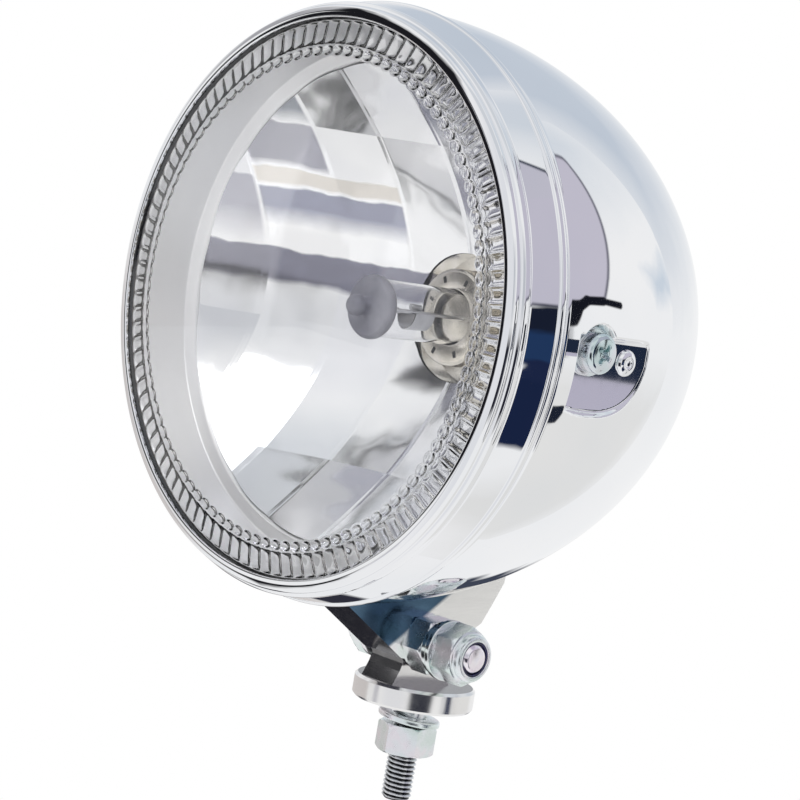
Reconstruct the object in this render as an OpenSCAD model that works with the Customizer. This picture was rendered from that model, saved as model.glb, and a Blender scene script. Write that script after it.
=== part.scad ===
/* [Placing] */
// distance of the pivot bolt below the shell
pivot_drop = 12.2; // [11:0.1:16]
// distance of the glass edge plane ahead of the stud axis
front_out = 75.8; // [60:0.2:90]

/* [Rim] */
// radius at the start of the side band
band_r = 90.8; // [80:0.1:100]
// how far the lip reaches in from the side band
lip_w = 5.3; // [4:0.1:8]
// how far the side band stands out from the front bevel
bevel_in = 1.2; // [0.6:0.1:2]
// how much the side band widens to its rear end
band_flare = 1.7; // [0.8:0.1:3]
// axial start of the side band
band_start = 5; // [4:0.1:7]
// axial end of the side band
band_end = 14.2; // [12:0.1:16]
// how far the rolled bead stands out of the side band
bead_out = 0.9; // [0.5:0.1:1.5]
// rear end of the rolled bead
bead_end = 17.4; // [16:0.1:19]
// sheet thickness of the rim
rim_wall = 1; // [0.8:0.1:1.5]
// width of each welded tab inside the rim
tab_w = 14; // [10:0.5:18]
// sheet thickness of each welded tab
tab_t = 1; // [0.8:0.1:1.2]

/* [Glass] */
// height of the domed front of the glass
glass_sag = 9; // [5:0.5:14]
// thickness of the glass
glass_t = 3.2; // [2.5:0.1:4.5]
// gap between the edge of the glass and the rim
glass_gap = 1.8; // [1:0.1:3]
// distance of the flute band from the lip
flute_in = 1.3; // [1:0.1:3]
// width of the flute band
flute_w = 8.2; // [5:0.1:12]
// number of flutes around the glass
flute_count = 104; // [80:1:130]
// radius of each round flute
flute_r = 2.2; // [1.6:0.1:2.5]
// how far a flute stands out of the glass
flute_out = 0.9; // [0.4:0.1:1.2]
// thickness of the rubber ring behind the glass
gasket_t = 1.2; // [0.8:0.1:2]
// how far the rubber ring reaches in from the lip
gasket_in = 0.7; // [0.4:0.1:1.2]

/* [Reflector] */
// how far the reflector's rim wall starts inside the lip
wall_in = 1.5; // [1:0.1:3]
// how much the rim wall narrows to its back
wall_taper = 4; // [2:0.1:6]
// axial place of the step between wall and bowl
step_s = 20.8; // [18:0.1:22]
// width of the step between wall and bowl
step_w = 5; // [3:0.1:8]
// how far the bowl's edge lies behind the step
step_rise = 2; // [1:0.1:4]
// focal length of the bowl
focal = 28; // [25:0.5:32]
// radius of the bulb hole
bulb_hole_r = 21; // [18:0.1:23]
// sheet thickness of the reflector
bowl_wall = 1.2; // [0.8:0.1:1.6]
// depth of the steps between the reflector's panels
panel_step = 0.7; // [0.3:0.1:1]
// width of the reflector's panels
panel_w = 24; // [18:1:30]
// length of the reflector's neck behind the vertex
neck_len = 4; // [3:0.5:7]
// width of the flange around the neck
neck_lip = 6; // [4:0.5:8]

/* [Bulb] */
// radius of the bulb's glass tube
bulb_r = 8.75; // [8:0.05:9.5]
// length of the bulb ahead of the neck's rear face
bulb_len = 56; // [40:0.5:60]
// radius of the bulb's metal cup
cup_r = 15.7; // [14:0.1:18]
// length of the bulb's metal cup
cup_len = 13.5; // [9:0.5:17]
// radius of the bulb's flange
bulb_flange_r = 23; // [22:0.1:24]
// radius of the black base at the back of the bulb
base_r = 13.5; // [11:0.1:15]
// thickness of the bulb's flange
bulb_flange_t = 1.2; // [0.8:0.1:1.6]
// length of the black base
base_len = 7; // [5:0.5:9]
// width of the contact blades
blade_w = 8; // [6:0.1:9]
// thickness of the contact blades
blade_t = 0.8; // [0.6:0.1:1]
// length of the contact blades
blade_len = 13; // [10:0.5:16]
// distance of the contact blades from the axis
blade_at = 5.65; // [5:0.05:7]
// radius of the wire posts in the bulb
post_r = 0.5; // [0.4:0.05:0.8]
// distance of the outer posts from the axis
post_at = 3.2; // [2.5:0.1:4]
// radius of the small shield around the rear coil
shield_r = 5.2; // [4.5:0.1:6]
// length of the small shield
shield_len = 9; // [6:0.5:11]
// wall of the dust boot
boot_t = 2.2; // [1.5:0.1:3]
// length of the dust boot's cone
boot_len = 12; // [9:0.5:15]

/* [Shell] */
// how much the shell is smaller than the end of the side band
shell_in = 0.1; // [0:0.1:0.5]
// axial place where the shell starts to curve in
dome_start = 23; // [18:0.5:40]
// length of the curved part of the shell
dome_len = 121.2; // [90:0.2:150]
// sheet thickness of the shell
shell_wall = 1; // [0.8:0.1:1.6]
// clearance between the rim and the neck that it covers
neck_gap = 0.4; // [0.3:0.1:0.8]
// front edge of the shell's neck
neck_front = 11; // [9:0.1:13]
// radius of the cable hole
cable_hole_r = 8; // [6:0.1:10]
// bore radius of the cable grommet
grommet_bore_r = 4; // [3:0.1:5]
// width of the grommet's flanges
grommet_lip = 3; // [2:0.1:5]
// thickness of the grommet's flanges
grommet_t = 2.2; // [1.5:0.1:3]

/* [Side pockets] */
// axial place of the side screws
screw_s = 34.5; // [32:0.5:38]
// depth of the pocket floor below the shell's widest place
pocket_depth = 4.8; // [3.4:0.1:6.4]
// front edge of the pocket
pocket_front = 25.5; // [24:0.5:28]
// rear edge of the pocket
pocket_back = 61; // [54:0.5:66]
// top edge of the pocket
pocket_top = 4.8; // [3:0.1:7]
// radius of the pocket's curved lower edge
pocket_curve_r = 22.6; // [20:0.2:26]
// radius of the round bay at the screw
bay_r = 8.4; // [7.8:0.1:10]

/* [Side screws] */
// shank radius of the side screws
m6_r = 2.95; // [2.9:0.01:3]
// radius of the screw head
head_r = 6; // [5:0.1:6.5]
// height of the screw head
head_h = 3.7; // [3:0.1:4.5]
// distance of the pocket's rivet from the pocket's rear end
pocket_rivet_in = 9.7; // [8:0.1:12]
// how far the pocket's rivet lies below the lamp's axis
pocket_rivet_down = 2.1; // [0:0.1:4]
// head radius of the pocket's rivet
pocket_rivet_r = 4; // [3:0.1:4.5]
// head height of the pocket's rivet
pocket_rivet_h = 1.4; // [1:0.1:1.6]
// thickness of the flat washer
side_washer_t = 1.4; // [1:0.1:2]
// radius of the flat washer
side_washer_r = 7.1; // [6:0.1:7.5]
// thickness of the spring washer
side_spring_t = 1.6; // [1.2:0.1:2]
// radius of the spring washer
side_spring_r = 5.6; // [5:0.1:6]
// height of the welded nut
tab_nut_h = 5; // [4:0.1:6]
// width across flats of the welded nut
tab_nut_af = 10; // [9:0.1:11]

/* [Bracket] */
// outer width of the bracket
bracket_w = 18; // [16:0.5:22]
// sheet thickness of the bracket
bracket_t = 1.5; // [1:0.1:2]
// radius of the ear's round end
ear_r = 9; // [8.5:0.1:11]
// height of the pivot bolt's axis
pivot_z = 39.4; // [37:0.1:42]
// distance of the pivot bolt ahead of the stud axis
pivot_out = 8.5; // [6:0.1:11]
// distance of the front plate from the pivot axis
web_off = 9.2; // [9:0.1:11]
// how far the front plate stops short of its point nearest the pivot
web_end = 4.5; // [4:0.1:8]
// slope of the front plate in degrees
web_slope = 32.1; // [28:0.1:36]
// reach of the ears behind the pivot bolt
rear_reach = 34.5; // [30:0.5:38]
// length of the front plate before the shell cuts it
web_len = 60; // [55:1:70]
// how far the ears run into the shell before it cuts them
ear_over = 5.2; // [3:0.1:8]
// gap between the bracket's saddle and the shell
saddle_gap = 0.3; // [0.3:0.1:0.6]
// shank radius of the rivets
rivet_r = 2.4; // [2:0.1:3]
// head radius of the rivets
rivet_head_r = 4.2; // [3.5:0.1:5]

/* [Pivot bolt] */
// shank radius of the pivot bolt
bolt_r = 5; // [4:0.1:6]
// radial clearance of the bolt in the foot's lug
run_fit = 0.05; // [0.03:0.01:0.09]
// width across flats of the M10 nuts
m10_af = 17; // [16:0.5:18]
// height of the bolt's head
bolt_head_h = 6.4; // [6:0.1:7]
// height of the first nut
pivot_nut_h = 8.4; // [7:0.1:9]
// thickness of the spring washer
spring_t = 2.5; // [2:0.1:3]
// thickness of the flat washers
washer_t = 2; // [1.6:0.1:2.5]
// radius of the pivot bolt's flat washers
washer_r = 9.9; // [9.8:0.1:11]
// radius of the spring washer
spring_r = 9; // [8.5:0.1:9.4]
// height of the lock nut's hexagon
lock_hex_h = 8.4; // [7:0.1:9]
// height of the lock nut's collar
lock_collar_h = 3; // [2:0.1:4]
// radius of the lock nut's collar
lock_collar_r = 7.6; // [7.2:0.1:8.2]
// radius of the nylon ring in the lock nut
nylon_r = 6.2; // [5.8:0.1:6.6]
// how far the bolt stands out of the lock nut
bolt_out = 0.3; // [0:0.1:4]

/* [Foot] */
// radius of the foot's disc
foot_r = 20; // [17:0.5:24]
// thickness of the foot's disc
foot_t = 7.5; // [5:0.5:10]
// edge rounding of the foot's disc
foot_edge = 0.9; // [0.4:0.1:1.5]
// radius of the lug's round top
lug_r = 7.2; // [6.8:0.1:7.4]
// clearance on each side of the lug
lug_gap = 0.05; // [0.03:0.01:0.2]
// radius of the stud
stud_r = 5; // [4.5:0.1:6]
// length of the stud's free end below the nut
stud_free = 15.6; // [10:0.1:25]
// height of the nut under the foot
foot_nut_h = 9.6; // [8:0.1:11]
// radius of the washer under the foot
foot_washer_r = 10.3; // [9.5:0.1:11]
// gap for the mounting plate between foot and washer
plate_gap = 5.2; // [3:0.1:10]
// gap between the nut and the start of the stud's free end
nut_lift = 0.3; // [0.2:0.1:1]
// radius of the stud's free end
stud_end_r = 4.8; // [4.3:0.1:4.8]
// depth of the stud in the foot
stud_in = 6; // [4:0.5:6.5]

/* [Hidden] */
$fn = 96;
eps = 0.01;
fit = 0.05;
seat_z = nut_lift + foot_nut_h + washer_t + plate_gap;
lip_r = band_r - lip_w;
bevel_r = band_r - bevel_in;
band_rear_r = band_r + band_flare;
bead_r = band_rear_r + bead_out;
glass_r = band_r - rim_wall - glass_gap;
flute_outer_r = lip_r - flute_in;
flute_inner_r = flute_outer_r - flute_w;
gasket_r = lip_r - gasket_in;
wall_front_r = lip_r - wall_in;
wall_back_r = wall_front_r - wall_taper;
bowl_r = wall_back_r - step_w;
vertex_s = step_s + bowl_r * bowl_r / (4 * focal) + step_rise;
neck_end = vertex_s + neck_len;
base_s = neck_end + bulb_flange_t;
blade_root = 0.3 * base_len;
boot_r = bulb_hole_r + neck_lip + 4 * fit;
boot_mouth_r = base_r + 2;
post_foot = 0.4 * base_len + 1.2;
bulb_tip = neck_end - bulb_len;
coil_s = bulb_tip + 1.35 * shield_len;
cup_front = neck_end - cup_len;
shell_r = band_rear_r - shell_in;
floor_x = shell_r - pocket_depth;
axis_up = pivot_z + shell_r + pivot_drop;
dome_r = (lip_r * lip_r + glass_sag * glass_sag) / (2 * glass_sag);
gasket_back = glass_t + gasket_t;
flange_back = gasket_back + bowl_wall;
steps = 40;
glass_steps = 12;
neck_r = band_r - rim_wall - neck_gap
         + (band_rear_r - band_r) * (neck_front - band_start) / (band_end - band_start);
shell_end_t = acos((cable_hole_r - 1) / shell_r);
ear_in = bracket_w / 2 - bracket_t;
lug_w = 2 * (ear_in - lug_gap);
rear_s = front_out - pivot_out + rear_reach;
ear_top = shell_r + pivot_drop - dome_r_at(rear_s, 0) + ear_over;
x_nut = bracket_w / 2;
x_spring = x_nut + pivot_nut_h;
x_washer = x_spring + spring_t;
x_lock = x_washer + washer_t;
x_collar = x_lock + lock_hex_h;
x_end = x_collar + lock_collar_h + bolt_out;
tab_x = floor_x - shell_wall - 0.3 - tab_t;
clip_x = bulb_flange_r * 0.7;
clip_y = bulb_flange_r * 0.83;
pole_s = dome_start + dome_len * sin(acos(cable_hole_r / shell_r));

function hex_r(af) = af / sqrt(3);
function front_s(r) = dome_r - sqrt(dome_r * dome_r - r * r) - glass_sag;
function bowl_s(r) = vertex_s - r * r / (4 * focal);
function dome_pt(t, off) = [(shell_r + off) * cos(t), dome_start + (dome_len + off) * sin(t)];
function dome_r_at(s, off) = (shell_r + off) * sqrt(1 - pow((s - dome_start) / (dome_len + off), 2));
function dome_tilt(s) = atan(shell_r / dome_len * (s - dome_start)
                             / sqrt(pow(dome_len, 2) - pow(s - dome_start, 2)));

module lamp() {
    translate([0, -front_out, axis_up]) rotate([-90, 0, 0]) children();
}

module both_sides() {
    children();
    mirror([1, 0, 0]) children();
}

module hex_nut(af, h, bore) {
    intersection() {
        difference() {
            cylinder(r = hex_r(af), h = h, $fn = 6);
            translate([0, 0, -1]) cylinder(r = bore, h = h + 2);
        }
        translate([0, 0, -1]) cylinder(r1 = af / 2 + 0.1, r2 = af / 2 + h + 1, h = h + 1.9);
        translate([0, 0, -0.9]) cylinder(r1 = af / 2 + h + 1, r2 = af / 2 + 0.1, h = h + 1.9);
    }
}

module ring(r_out, r_in, h) {
    difference() {
        cylinder(r = r_out, h = h);
        translate([0, 0, -1]) cylinder(r = r_in, h = h + 2);
    }
}

module along_x(x) {
    translate([x, 0, 0]) rotate([0, 90, 0]) children();
}

module at_pivot() {
    translate([0, -pivot_out, pivot_z]) children();
}

// rim: one rolled sheet ring with a lip in front, a bead behind and two welded tabs inside
module rim_sheet() {
    rotate_extrude() polygon([
        [lip_r, 0],
        [lip_r, -rim_wall],
        [lip_r + 1.4, -rim_wall - 0.3],
        [bevel_r - 0.5, -0.5],
        [bevel_r, 0.6],
        [bevel_r, 1.6],
        [band_r - 0.5, 2],
        [band_r + 0.1, 2.8],
        [band_r + 0.1, band_start - 0.5],
        [band_r, band_start],
        [band_rear_r, band_end],
        [bead_r - 0.2, band_end + 0.6],
        [bead_r, (band_end + bead_end) / 2],
        [bead_r - 0.2, bead_end - 0.4],
        [bead_r - 0.7, bead_end],
        [band_rear_r - rim_wall, bead_end],
        [band_rear_r - rim_wall, band_end],
        [band_r - rim_wall, band_start],
        [band_r - rim_wall - 0.4, 2],
        [bevel_r - rim_wall + 0.2, 1],
        [bevel_r - rim_wall - 0.3, 0]
    ]);
}

module rim_tab() {
    difference() {
        intersection() {
            translate([0, -tab_w / 2, 0]) union() {
                translate([tab_x, 0, flange_back + 0.4])
                    cube([band_r - tab_x, tab_w, rim_wall]);
                translate([tab_x, 0, flange_back + 0.4])
                    cube([tab_t, tab_w, screw_s + 7.5 - flange_back]);
            }
            cylinder(r = band_r - 0.4, h = screw_s + 20);
        }
        translate([0, 0, screw_s]) along_x(tab_x - 1) cylinder(r = m6_r + 0.35, h = tab_t + 2);
    }
}

module rim() {
    color([0.9, 0.9, 0.92]) lamp() union() {
        rim_sheet();
        both_sides() rim_tab();
    }
}

// glass: a shallow dome with a flat edge and a band of round flutes inside
module glass() {
    color([0.85, 0.92, 0.95, 0.35]) lamp() union() {
        rotate_extrude() polygon(concat(
            [for (i = [0:glass_steps]) let (r = (lip_r - 0.3) * i / glass_steps) [r, front_s(r)]],
            [[lip_r - 0.15, fit], [glass_r, fit], [glass_r, glass_t]],
            [for (i = [glass_steps:-1:0]) let (r = (gasket_r - 0.2) * i / glass_steps)
                [r, front_s(r) + glass_t]]
        ));
        for (i = [0:flute_count - 1]) rotate([0, 0, (i + 0.5) * 360 / flute_count]) flute();
    }
}

module flute() {
    mid_r = (flute_inner_r + flute_outer_r) / 2;
    tilt = atan((front_s(flute_outer_r) - front_s(flute_inner_r)) / (flute_outer_r - flute_inner_r));
    translate([mid_r, 0, front_s(mid_r) + glass_t + flute_out - flute_r]) rotate([0, 90 - tilt, 0])
        cylinder(r = flute_r, h = flute_outer_r - flute_inner_r, center = true, $fn = 48);
}

module glass_gasket() {
    color([0.05, 0.05, 0.06]) lamp() translate([0, 0, glass_t]) ring(glass_r, gasket_r, gasket_t);
}

// reflector: flange, tapered rim wall, step and a bowl of flat-sided panels
module bowl_solid(off) {
    rotate_extrude() polygon(concat(
        [[0, step_s - off], [bowl_r + off, step_s - off]],
        [for (i = [0:steps]) let (r = bowl_r - (bowl_r - bulb_hole_r) * i / steps)
            [r + off, bowl_s(r) + off]],
        [[0, bowl_s(bulb_hole_r) + off]]
    ));
}

module panel_cut() {
    for (i = [-1, 1]) translate([i * panel_w * 1.5 - panel_w / 2, -bowl_r - 2, step_s - 1])
        cube([panel_w, 2 * bowl_r + 4, vertex_s]);
}

module reflector() {
    color([0.88, 0.88, 0.9]) lamp() difference() {
        union() {
            bowl_solid(bowl_wall + panel_step);
            translate([0, 0, gasket_back])
                cylinder(r1 = wall_front_r + bowl_wall, r2 = wall_back_r + bowl_wall,
                         h = step_s + bowl_wall - gasket_back);
            translate([0, 0, gasket_back]) cylinder(r = glass_r, h = bowl_wall);
            translate([0, 0, vertex_s - 6])
                cylinder(r = bulb_hole_r + bowl_wall, h = neck_end - vertex_s + 6);
            translate([0, 0, neck_end - bowl_wall]) cylinder(r = bulb_hole_r + neck_lip, h = bowl_wall);
        }
        translate([0, 0, gasket_back - eps])
            cylinder(r1 = wall_front_r, r2 = wall_back_r, h = step_s - gasket_back + eps);
        bowl_solid(0);
        intersection() {
            bowl_solid(panel_step);
            panel_cut();
        }
        translate([0, 0, step_s]) cylinder(r = bulb_hole_r, h = vertex_s);
    }
}

module unit_clips() {
    color([0.6, 0.6, 0.62]) lamp() for (a = [45, 135, 225, 315]) rotate([0, 0, a])
        translate([wall_front_r + bowl_wall + 0.4, -6, flange_back])
            cube([band_r - rim_wall - 0.7 - wall_front_r - bowl_wall, 12, 0.8]);
}

// bulb: metal cup and flange, glass tube, filaments, black base and three blades
module bulb_cup() {
    color([0.78, 0.76, 0.7]) lamp() difference() {
        union() {
            translate([0, 0, cup_front]) cylinder(r = cup_r, h = neck_end - cup_front + eps);
            translate([0, 0, neck_end]) cylinder(r = bulb_flange_r, h = bulb_flange_t);
        }
        translate([0, 0, cup_front - 1]) cylinder(r = bulb_r + fit, h = neck_end - cup_front - 1);
        for (a = [45, 135, 225, 315]) rotate([0, 0, a])
            translate([bulb_r + 2.2, -1.2, cup_front - 1]) cube([3, 2.4, 3]);
    }
}

module bulb_glass() {
    color([0.9, 0.93, 0.95, 0.35]) lamp() rotate_extrude() polygon(concat(
        [for (i = [0:12]) [bulb_r * sin(i * 7.5), bulb_tip + bulb_r * 0.7 * (1 - cos(i * 7.5))]],
        [[bulb_r, neck_end - 3], [bulb_r - 1, neck_end - 3]],
        [for (i = [12:-1:0]) [(bulb_r - 1) * sin(i * 7.5),
                              bulb_tip + 1 + (bulb_r - 1) * 0.7 * (1 - cos(i * 7.5))]]
    ));
}

module bulb_filaments() {
    color([0.5, 0.5, 0.52]) lamp() union() {
        translate([0, 0, neck_end - 1.5 * post_foot]) cylinder(r = shield_r, h = post_foot);
        for (x = [-post_at, 0, post_at]) translate([x, 0, coil_s])
            cylinder(r = post_r, h = neck_end - coil_s - post_foot);
        for (s = [coil_s, coil_s + 1.1 * shield_len]) translate([-post_at, 0, s + 2 * post_r]) along_x(0)
            cylinder(r = 1.8 * post_r, h = 2 * post_at);
        translate([0, 0, coil_s + 0.65 * shield_len]) difference() {
            cylinder(r = shield_r, h = shield_len);
            translate([0, 0, -post_r]) cylinder(r = shield_r - 1.2 * post_r, h = shield_len);
            translate([-2 * shield_r, -2 * shield_r - post_r, -post_r])
                cube([4 * shield_r, 2 * shield_r, 2 * shield_len]);
        }
    }
}

module bulb_base() {
    color([0.08, 0.08, 0.08]) lamp() translate([0, 0, base_s]) difference() {
        cylinder(r = base_r, h = base_len);
        for (a = [0, 90, 180]) rotate([0, 0, a]) translate([blade_at - fit, -blade_w / 2 - fit, blade_root])
            cube([blade_t + 2 * fit, blade_w + 2 * fit, base_len]);
    }
}

module bulb_contacts() {
    color([0.8, 0.78, 0.72]) lamp() for (a = [0, 90, 180]) rotate([0, 0, a])
        translate([blade_at, -blade_w / 2, base_s + blade_root]) cube([blade_t, blade_w, blade_len]);
}

module bulb_clip() {
    color([0.75, 0.75, 0.76]) lamp() translate([0, 0, neck_end + bulb_flange_t + 0.9]) union() {
        for (x = [-clip_x, clip_x]) translate([x, -clip_y, 0]) rotate([-90, 0, 0])
            cylinder(r = 0.8, h = 2 * clip_y);
        translate([0, -clip_y, 0]) along_x(-clip_x) cylinder(r = 0.8, h = 2 * clip_x);
        for (x = [-clip_x, clip_x]) translate([x, -clip_y, 0]) sphere(r = 0.8);
    }
}

module dust_boot() {
    color([0.06, 0.06, 0.06]) lamp() rotate_extrude() polygon([
        [boot_r, neck_end - 0.25 * boot_len],
        [boot_r + boot_t, neck_end - 0.25 * boot_len],
        [boot_r + boot_t, neck_end + 0.25 * boot_len],
        [boot_mouth_r + boot_t, neck_end + boot_len],
        [boot_mouth_r, neck_end + boot_len],
        [boot_mouth_r, neck_end + boot_len - boot_t],
        [boot_r, neck_end + boot_t]
    ]);
}

// shell: deep drawn dome with a narrow neck, pressed side pockets and a cable hole
module dome_solid(off) {
    rotate_extrude() polygon(concat(
        [[0, dome_start], [shell_r + off, dome_start]],
        [for (i = [1:steps]) dome_pt(shell_end_t * i / steps, off)],
        [[0, dome_pt(shell_end_t, off)[1]]]
    ));
}

module shell_sheet() {
    rotate_extrude() polygon(concat(
        [[neck_r - shell_wall, neck_front], [neck_r, neck_front], [neck_r, bead_end],
         [shell_r, bead_end + 1.4], [shell_r, dome_start]],
        [for (i = [1:steps]) dome_pt(shell_end_t * i / steps, 0)],
        [for (i = [steps:-1:0]) dome_pt(shell_end_t * i / steps, -shell_wall)],
        [[shell_r - shell_wall, bead_end + 2], [neck_r - shell_wall, bead_end + 0.6]]
    ));
}

module pocket(grow) {
    intersection() {
        translate([floor_x - grow, -40, pocket_front - grow])
            cube([20, 80, pocket_back - pocket_front + 2 * grow]);
        union() {
            intersection() {
                translate([floor_x - grow - 1, -pocket_top - grow, pocket_front - grow - 1])
                    cube([22, 60, pocket_back - pocket_front + 2 * grow + 2]);
                translate([0, -4, 40]) along_x(floor_x - grow - 1)
                    cylinder(r = pocket_curve_r + grow, h = 22);
            }
            translate([0, 0, screw_s]) along_x(floor_x - grow - 1) cylinder(r = bay_r + grow, h = 22);
        }
    }
}

module shell() {
    color([0.9, 0.9, 0.92]) lamp() difference() {
        union() {
            shell_sheet();
            intersection() {
                dome_solid(-0.3);
                both_sides() pocket(shell_wall);
            }
        }
        both_sides() pocket(0);
        translate([0, 0, screw_s]) along_x(-floor_x - 20) cylinder(r = m6_r + 0.35, h = 2 * floor_x + 40);
        both_sides() at_pocket_rivet() along_x(floor_x - 4) cylinder(r = rivet_r + fit, h = 8);
        translate([0, 0, pole_s - 20]) cylinder(r = cable_hole_r, h = 40);
        for (s = rivet_places) at_rivet(s) cylinder(r = rivet_r + fit, h = 20, center = true);
        for (s = rivet_places) at_rivet(s) translate([0, 0, -shell_wall - 3])
            cylinder(r = rivet_head_r + fit, h = 2.7 + fit);
    }
}

rivet_places = [48, 84];

module at_rivet(s) {
    translate([0, dome_r_at(s, 0), s]) rotate([-90 + dome_tilt(s), 0, 0]) children();
}

module tab_nuts() {
    color([0.75, 0.75, 0.76]) lamp() both_sides() translate([0, 0, screw_s])
        along_x(tab_x - tab_nut_h) hex_nut(tab_nut_af, tab_nut_h, m6_r + 0.04);
}

module side_screws() {
    x_head = floor_x + side_washer_t + side_spring_t;
    color([0.8, 0.8, 0.82]) lamp() both_sides() translate([0, 0, screw_s]) difference() {
        union() {
            along_x(tab_x - tab_nut_h - 3) cylinder(r = m6_r, h = x_head - tab_x + tab_nut_h + 3 + eps);
            along_x(x_head) cylinder(r = head_r, h = head_h - 1);
            along_x(x_head + head_h - 1) cylinder(r1 = head_r, r2 = head_r - 1.6, h = 1);
        }
        for (a = [0, 90]) translate([x_head + head_h - 1.8, 0, 0]) rotate([a, 0, 0])
            translate([0, -3, -0.55]) cube([3, 6, 1.1]);
    }
}

module side_spring_washers() {
    color([0.72, 0.72, 0.74]) lamp() both_sides() translate([0, 0, screw_s])
        along_x(floor_x + side_washer_t) difference() {
            ring(side_spring_r, m6_r + 0.35, side_spring_t);
            rotate([20, 0, 0]) translate([-0.4, 0, -3]) cube([0.8, 8, 8]);
        }
}

module side_flat_washers() {
    color([0.76, 0.76, 0.78]) lamp() both_sides() translate([0, 0, screw_s])
        along_x(floor_x) ring(side_washer_r, m6_r + 0.35, side_washer_t);
}

module at_pocket_rivet() {
    translate([0, pocket_rivet_down, pocket_back - pocket_rivet_in]) children();
}

module pocket_rivets() {
    color([0.82, 0.82, 0.84]) lamp() both_sides() at_pocket_rivet() union() {
        along_x(floor_x) cylinder(r = pocket_rivet_r, h = 0.5 * pocket_rivet_h);
        along_x(floor_x + 0.5 * pocket_rivet_h)
            cylinder(r1 = pocket_rivet_r, r2 = 0.6 * pocket_rivet_r, h = 0.5 * pocket_rivet_h);
        along_x(floor_x - shell_wall - 0.5) cylinder(r = rivet_r, h = shell_wall + 0.6);
        along_x(floor_x - shell_wall - 1.2) cylinder(r = 0.8 * pocket_rivet_r, h = 1.2);
    }
}

// bracket: one folded sheet with a sloping front plate, two ears and a saddle under the shell
module side_shape(inset) {
    off = web_off - inset;
    foot_y = -off * sin(web_slope);
    foot_z = -off * cos(web_slope);
    polygon([
        [foot_y - web_end * cos(web_slope), foot_z + web_end * sin(web_slope)],
        [foot_y - web_len * cos(web_slope), foot_z + web_len * sin(web_slope)],
        [foot_y - web_len * cos(web_slope), ear_top],
        [rear_reach - inset, ear_top],
        [rear_reach - 1.5 - inset, 20],
        [rear_reach - 5.3 - inset, 12.9],
        [rear_reach - 9.1 - inset, 6.3],
        [ear_r * 0.5, -ear_r * 0.8]
    ]);
}

module side_solid(inset, half) {
    translate([-half, 0, 0]) rotate([90, 0, 90]) linear_extrude(height = 2 * half) side_shape(inset);
}

module bracket() {
    color([0.85, 0.86, 0.9]) difference() {
        union() {
            difference() {
                at_pivot() difference() {
                    union() {
                        side_solid(0, bracket_w / 2);
                        along_x(-bracket_w / 2) cylinder(r = ear_r, h = bracket_w);
                    }
                    side_solid(bracket_t, ear_in);
                    along_x(-ear_in) cylinder(r = lug_r + 0.5, h = 2 * ear_in);
                    translate([-ear_in, -ear_r * 0.86, -30]) cube([2 * ear_in, 90, 100]);
                }
                lamp() dome_solid(saddle_gap);
                lamp() cylinder(r = bead_r + 1, h = dome_start + 6);
            }
            intersection() {
                lamp() difference() {
                    dome_solid(saddle_gap + bracket_t);
                    dome_solid(saddle_gap);
                }
                at_pivot() side_solid(0, bracket_w / 2);
                translate([-bracket_w / 2, -front_out + dome_start + 6, 0]) cube([bracket_w, 200, 80]);
            }
        }
        at_pivot() along_x(-20) cylinder(r = bolt_r + 0.25, h = 40);
        lamp() for (s = rivet_places) at_rivet(s) cylinder(r = rivet_r + fit, h = 20, center = true);
        lamp() for (s = rivet_places) at_rivet(s) translate([0, 0, saddle_gap + bracket_t - 0.4])
            cylinder(r = rivet_head_r + fit, h = 6);
    }
}

module bracket_rivets() {
    color([0.7, 0.7, 0.72]) lamp() for (s = rivet_places) at_rivet(s) union() {
        translate([0, 0, -shell_wall - 1.5])
            cylinder(r = rivet_r, h = shell_wall + saddle_gap + bracket_t + 2.2);
        translate([0, 0, -shell_wall - 1.8]) cylinder(r = rivet_head_r, h = 1.5);
        translate([0, 0, saddle_gap + bracket_t - 0.4]) cylinder(r = rivet_head_r, h = 1.6);
    }
}

module pivot_bolt() {
    x_head = -bracket_w / 2 - washer_t;
    color([0.78, 0.79, 0.8]) at_pivot() union() {
        along_x(x_head - bolt_head_h) hex_nut(m10_af, bolt_head_h, 0.01 + bolt_r - 2);
        along_x(x_head - bolt_head_h + 0.4) cylinder(r = bolt_r, h = bolt_head_h);
        along_x(x_head - eps) cylinder(r = bolt_r, h = x_end - 1 - x_head + eps);
        along_x(x_end - 1) cylinder(r1 = bolt_r, r2 = bolt_r - 1, h = 1);
    }
}

module bolt_head_washer() {
    color([0.78, 0.79, 0.8]) at_pivot() along_x(-bracket_w / 2 - washer_t)
        ring(washer_r, bolt_r + 0.25, washer_t);
}

module pivot_nut() {
    color([0.76, 0.78, 0.8]) at_pivot() along_x(x_nut) hex_nut(m10_af, pivot_nut_h, bolt_r + 0.04);
}

module pivot_spring_washer() {
    color([0.72, 0.73, 0.75]) at_pivot() along_x(x_spring) difference() {
        ring(spring_r, bolt_r + 0.25, spring_t);
        rotate([18, 0, 0]) translate([-12, -0.5, -4]) cube([9, 1, 12]);
    }
}

module pivot_flat_washer() {
    color([0.78, 0.79, 0.8]) at_pivot() along_x(x_washer) ring(washer_r, bolt_r + 0.25, washer_t);
}

module lock_nut() {
    color([0.76, 0.78, 0.8]) at_pivot() along_x(x_lock) difference() {
        union() {
            hex_nut(m10_af, lock_hex_h, bolt_r + 0.04);
            difference() {
                translate([0, 0, lock_hex_h - 1]) cylinder(r = lock_collar_r, h = lock_collar_h + 0.4);
                translate([0, 0, lock_hex_h - 2]) cylinder(r = bolt_r + 0.04, h = 9);
            }
            translate([0, 0, lock_hex_h + lock_collar_h - 0.61]) difference() {
                cylinder(r1 = lock_collar_r, r2 = lock_collar_r - 0.6, h = 0.6);
                translate([0, 0, -1]) cylinder(r = bolt_r + 0.04, h = 4);
            }
        }
        translate([0, 0, lock_hex_h - 0.5]) cylinder(r = nylon_r, h = 9);
    }
}

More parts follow.
